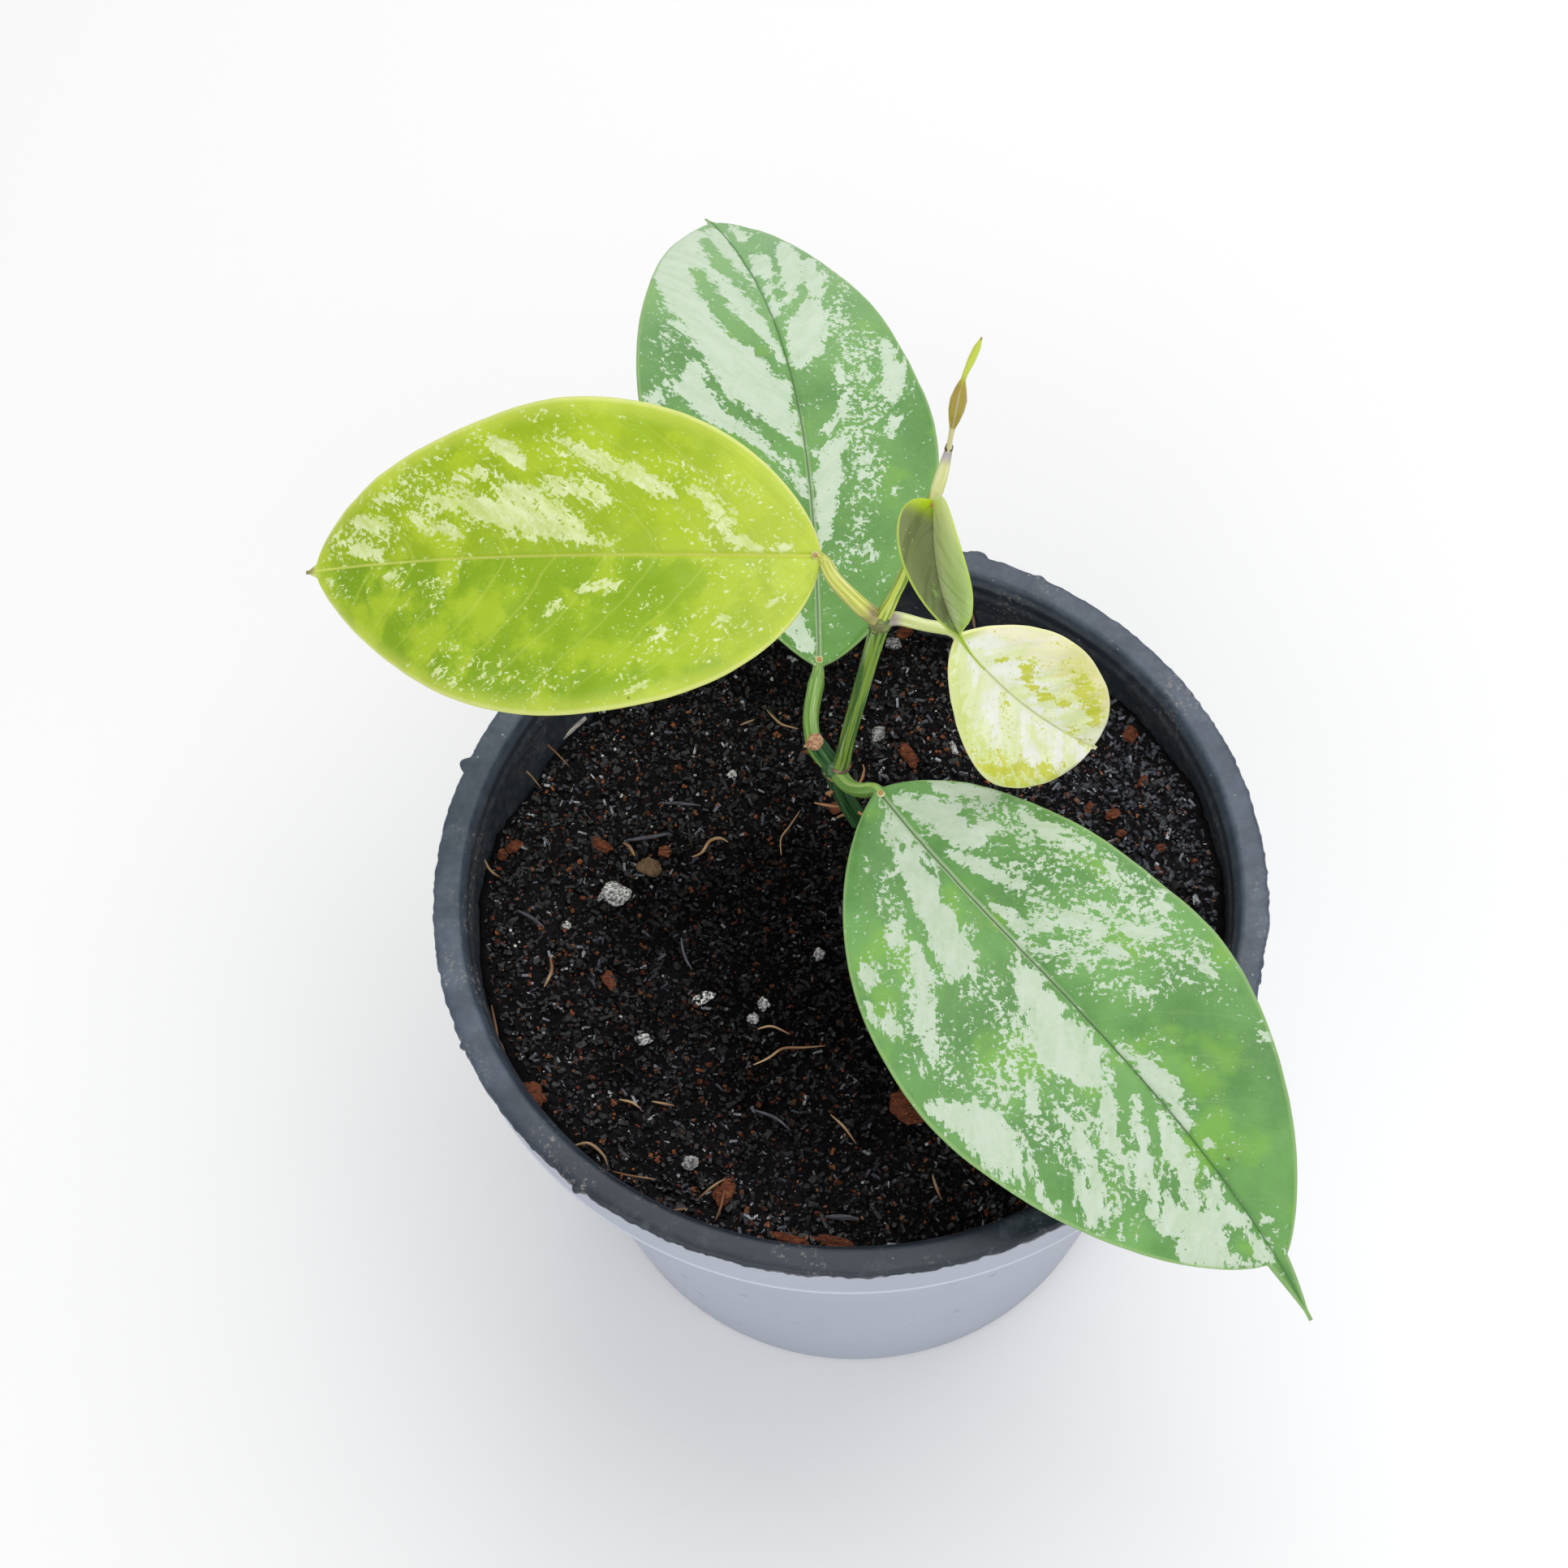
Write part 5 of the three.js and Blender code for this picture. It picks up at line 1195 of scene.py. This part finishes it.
def cream_wash(skin, along, aside, inset, hand):
    """White patches along the veins, a yellow flush near the far margin, lime by the stalk and below."""
    before_tip = skin.rise(along, 0.94, 0.86)
    greener = skin.cloud(8, 5, 0.65, on="veins", stretch=(1, 1.3, 1))
    skin.lay(skin.rise(greener, 0.44, 0.58), (224, 236, 158), 0.6)
    broken = skin.cloud(1.6, 8, 0.75)
    white = skin.plus(skin.cloud(4.5, on="veins", stretch=(1, 1.8, 1)), skin.times(broken, 0.6))
    skin.lay(skin.rise(white, 0.76, 0.88), (249, 251, 244), 0.9)
    edge = skin.plus(aside, skin.span(broken, -1.1, 1.1))
    flush = skin.times(skin.rise(edge, 0.4, 0.72), skin.rise(hand, -5, 5), before_tip)
    skin.lay(flush, skin.over(skin.rise(along, 0.3, 0.55), (248, 240, 206), (230, 220, 124)), 0.65)
    lower = skin.times(skin.rise(edge, 0.6, 0.85), skin.rise(hand, 5, -5), before_tip)
    skin.lay(lower, (214, 226, 112), 0.7)
    skin.lay(skin.rise(along, 0.07, 0), (190, 208, 70), 0.8)


cream = leaf_finish(
    "cream_leaf", ground=((236, 244, 194), (242, 247, 210), (246, 250, 226)),
    splash=((206, 212, 62), (222, 221, 104), (198, 206, 48)), rib=((222, 228, 160), (242, 245, 220)),
    rim=(236, 238, 176), vein=(246, 248, 226), under=((222, 228, 160), (232, 234, 182)), gloss=0.4, glow=0.18,
    wash=cream_wash, ragged=0.75, rim_wide=0.5, vein_share=0.4, gap=5.5, sprinkle=2.1, grain=0.6)
stalk_pale = stem_finish("cream_stalk", (192, 204, 128), (220, 226, 166), (238, 240, 208), (146, 128, 140))
leaf_on("leaf_right", LEAF_RIGHT, cream, stalk_pale)


# The folded leaf. The youngest open leaf, still folded along its midrib, with its drip tip hanging: glossy
# olive on its dark half with painted shade mottled over it, soft green painted light on the half that faces
# the light and along the fold, with a bright yellow green edge.
LEAF_FOLDED = dict(
    base=(14.2, 9.6, 207), length=27.3, left=(13.7, 0.53, 0.43, 0), right=(10.2, 0.51, 0.69, 0),
    heading=-93.2, turn=8.3, swing=43.9, pitch=-15.9, droop=-7.6, roll=13.4, twist=0, fold=68, tail=0.236,
    tail_half=0.8, thick=0.6, wave=0, waves=0, camber=1.0, groove=0.1, quilt=0.08, uneven=0.06, curl=0.25,
    vein_lean=0.7, vein_curl=0.04, vein_gap=3.6, grid=(120, 30),
    stalk=[NODE_TOP, (15.4, 12, 210.4), (14.6, 10.6, 208), (14.2, 9.6, 206.8)],
    stalk_radii=[0.55, 0.78, 0.93, 0.96, 0.6], joint=NODE_TOP, keel=[0.4, 0.34, 0.28, 0.18],
    gland=(0.5, 7, 0.75),
    splashes=[[(0.5, -0.3, 0.5), (0.54, -0.37, 0.6)]], freckles=[[(0.1, -0.1, 0.1)]])


def olive_wash(skin, along, aside, inset, hand):
    """Painted light in soft green on the half that faces the light, paler by the stalk, and on both halves
    along the fold; dark streaks follow the veins, and painted shade mottles the other half.
    """
    far = skin.rise(hand, -4, 4)
    # Painted light along the fold: both halves are paler there, over the crease's shade.
    fold = skin.rise(aside, 0.55, 0)
    skin.lay(fold, (168, 176, 142), 0.7)
    # Painted light: the half that faces the light is painted a soft green, paler by the stalk and palest by
    # the fold.
    light = skin.over(skin.cloud(1, on="veins", stretch=(0.7, 4, 1)), (168, 196, 106), (192, 214, 144))
    light = skin.over(skin.rise(along, 0.65, 0.2), light, (230, 243, 168))
    skin.lay(far, skin.over(fold, light, (244, 251, 206)))
    streak = skin.cloud(1, 2, on="veins", stretch=(0.9, 9, 1))
    skin.lay(skin.rise(streak, 0.52, 0.66), (104, 122, 56), 0.22)
    # Painted shade: darker mottling on the half that faces away from the light.
    shade_mottle = skin.cloud(3.2, 4, 0.65, on="veins", stretch=(1, 2, 1))
    skin.lay(skin.times(skin.rise(shade_mottle, 0.5, 0.66), skin.rise(hand, 4, -4)), (88, 96, 62), 0.55)
    base = skin.times(skin.rise(along, 0.16, 0.02), skin.less(1, skin.times(far, 0.6)))
    skin.lay(base, (188, 212, 20))
    skin.lay(skin.rise(along, 0.7, 0.8), (150, 182, 62))


# The very pale midrib tones are painted light over the shade in the fold's crease.
olive = leaf_finish(
    "olive_leaf", ground=((122, 132, 88), (132, 142, 104), (142, 148, 118)),
    splash=((150, 186, 110), (162, 194, 116), (176, 202, 130)), rib=((238, 244, 196), (206, 218, 150)),
    rim=(176, 200, 60), vein=(92, 98, 56), under=((150, 170, 92), (166, 184, 104)), gloss=0.3, glow=0.35,
    wash=olive_wash, ragged=0.2, rim_wide=0.3, vein_share=0.4, gap=3.6)
stalk_cream = stem_finish("folded_stalk", (216, 221, 146), (233, 234, 172), (244, 244, 208), (184, 176, 178))
leaf_on("leaf_folded", LEAF_FOLDED, olive, stalk_cream)


# The bud leaves. The pair of unopened leaves at the shoot's tip, pressed flat to each other: an ochre spindle
# that ends in a lime drip tip with a brown point, and a much smaller one behind it.
GLINT_FACING = (0, -0.48, 0.88)
BUD_STEPS = 130
BUD_SIDES = 48

bud_skin = Finish("bud_leaf", Roughness=0.4, Specular_IOR_Level=0.5, Coat_Weight=0.2, Coat_Roughness=0.25,
                  Subsurface_Weight=0.15, Subsurface_Scale=0.0008)
gone = bud_skin.parts(bud_skin.layer("laid", "Vector"))[0]
streak = bud_skin.cloud(1, on="laid", stretch=(5, 0.3, 0.3))
spindle = bud_skin.over(streak, (146, 128, 34), (188, 166, 46))
bud_skin.tone = bud_skin.over(bud_skin.rise(gone, 6, 7.2), (220, 214, 160), spindle)
bud_skin.lay(bud_skin.rise(gone, 15, 18), (200, 216, 70))
bud_skin.lay(bud_skin.rise(gone, 23.9, 24.6), (146, 124, 66))
# A painted highlight: a pale glint line along the outer bud's middle.
crease = bud_skin.rise(bud_skin.layer("crease"), 0.2, 0.8)
crease = bud_skin.times(crease, bud_skin.rise(gone, 6, 8), bud_skin.rise(gone, 16, 14))
bud_skin.lay(crease, (190, 196, 186), 0.6)
bud_skin.give(Normal=bud_skin.relief(streak, 0.05))

outer = rod(
    [(16.4, 14, 213.3), (16.5, 13.7, 215), (16.8, 13.4, 219.1), (17.5, 13.5, 225.1), (18.1, 13.9, 229.4),
     (19.3, 14.3, 233.5), (20.5, 14.7, 237.3)],
    [0.5, 0.38, 0.36, 0.42, 0.85, 1.17, 1.24, 0.88, 0.36, 0.45, 0.58, 0.52, 0.12], BUD_STEPS, BUD_SIDES)
rings = outer[0][:-2].reshape(BUD_STEPS, BUD_SIDES, 3)
out = rings - rings.mean(1, keepdims=True)
aside = out[..., 0] / np.abs(out[..., 0]).max(1, keepdims=True)
# The painted glint line's band, on the side that faces up and to the front.
glint_band = np.exp(-((aside + 0.22) / 0.12) ** 2) * (out @ GLINT_FACING > 0)
bud_outer = shape("bud_outer_skin", outer, bud_skin, crease=np.r_[glint_band.ravel(), 0, 0])
settle(bud_outer, "bud_leaf_outer")
inner = rod([(16.4, 14.9, 213.6), (16.6, 15, 216), (16.9, 15, 219), (17.1, 14.9, 222), (17.3, 14.8, 224.5)],
            [0.4, 0.3, 0.45, 0.7, 0.62, 0.4, 0.15], 70, 24, flat=0.6)
bud_inner = shape("bud_inner_skin", inner, bud_skin, crease=np.zeros(len(inner[0])))
settle(bud_inner, "bud_leaf_inner")


# Floor, light and camera. A white studio floor, a big soft light from above with two weaker ones in front,
# and the camera high in front, looking down at the plant.
FOCAL_PIXELS = 3000
IMAGE_SIDE = 1932
SENSOR_WIDTH = 36
RIM_PIXEL = (1045.2, 1077.3)
LOOK_DOWN = math.radians(61.5)
LOOK_ROLL = math.radians(-1.56)
LOOK_DISTANCE = 0.4396
FLOOR_HALF = 3000
FLOOR_LEVEL = -0.2

paper = Finish("white_floor", Base_Color=(0.95, 0.95, 0.95, 1), Roughness=0.9)
corners = [(x * FLOOR_HALF, y * FLOOR_HALF, FLOOR_LEVEL) for x, y in ((-1, -1), (1, -1), (1, 1), (-1, 1))]
shape("floor", (corners, [(0, 1, 2, 3)]), paper, smooth=False)

world = bpy.data.worlds.new("studio")
bpy.context.scene.world = world
world.use_nodes = True
sky = world.node_tree.nodes["Background"].inputs
sky["Color"].default_value = (1, 1, 1, 1)
sky["Strength"].default_value = 0.44


def soft_light(name, place, side, power):
    """A square soft box that faces the plant."""
    lamp = bpy.data.lights.new(name, "AREA")
    lamp.shape = "SQUARE"
    lamp.size = side
    lamp.energy = power
    light = placed(name, lamp)
    light.location = place
    light.rotation_euler = (Vector(place) - Vector((0, 0, 0.1))).to_track_quat("Z", "Y").to_euler()


soft_light("key", (0.3, 0.5, 1.2), 1.4, 11)
soft_light("left fill", (-0.5, -1.0, 0.9), 1.2, 6)
soft_light("right fill", (0.6, -0.95, 0.8), 1.2, 3.2)

bpy.context.scene.view_settings.view_transform = "Standard"
right, down = ((pixel - IMAGE_SIDE / 2) / FOCAL_PIXELS for pixel in RIM_PIXEL)
aim = Vector((right, -down, -1))
stand = Vector((0, -math.cos(LOOK_DOWN), math.sin(LOOK_DOWN)))
across = Vector((0, 0, 1)).cross(stand).normalized()
facing = Matrix((across, stand.cross(across), stand)).transposed()
turned_in = aim.rotation_difference(Vector((0, 0, -1))).to_matrix()
lens = bpy.data.cameras.new("camera")
lens.sensor_width = SENSOR_WIDTH
lens.lens = SENSOR_WIDTH * FOCAL_PIXELS / IMAGE_SIDE
lens.clip_start = 0.01
camera = placed("camera", lens)
camera.matrix_world = (Matrix.Translation(stand * LOOK_DISTANCE + Vector((0, 0, POT_HEIGHT * MM)))
                       @ (facing @ Matrix.Rotation(LOOK_ROLL, 3, "Z") @ turned_in).to_4x4())
bpy.context.scene.camera = camera
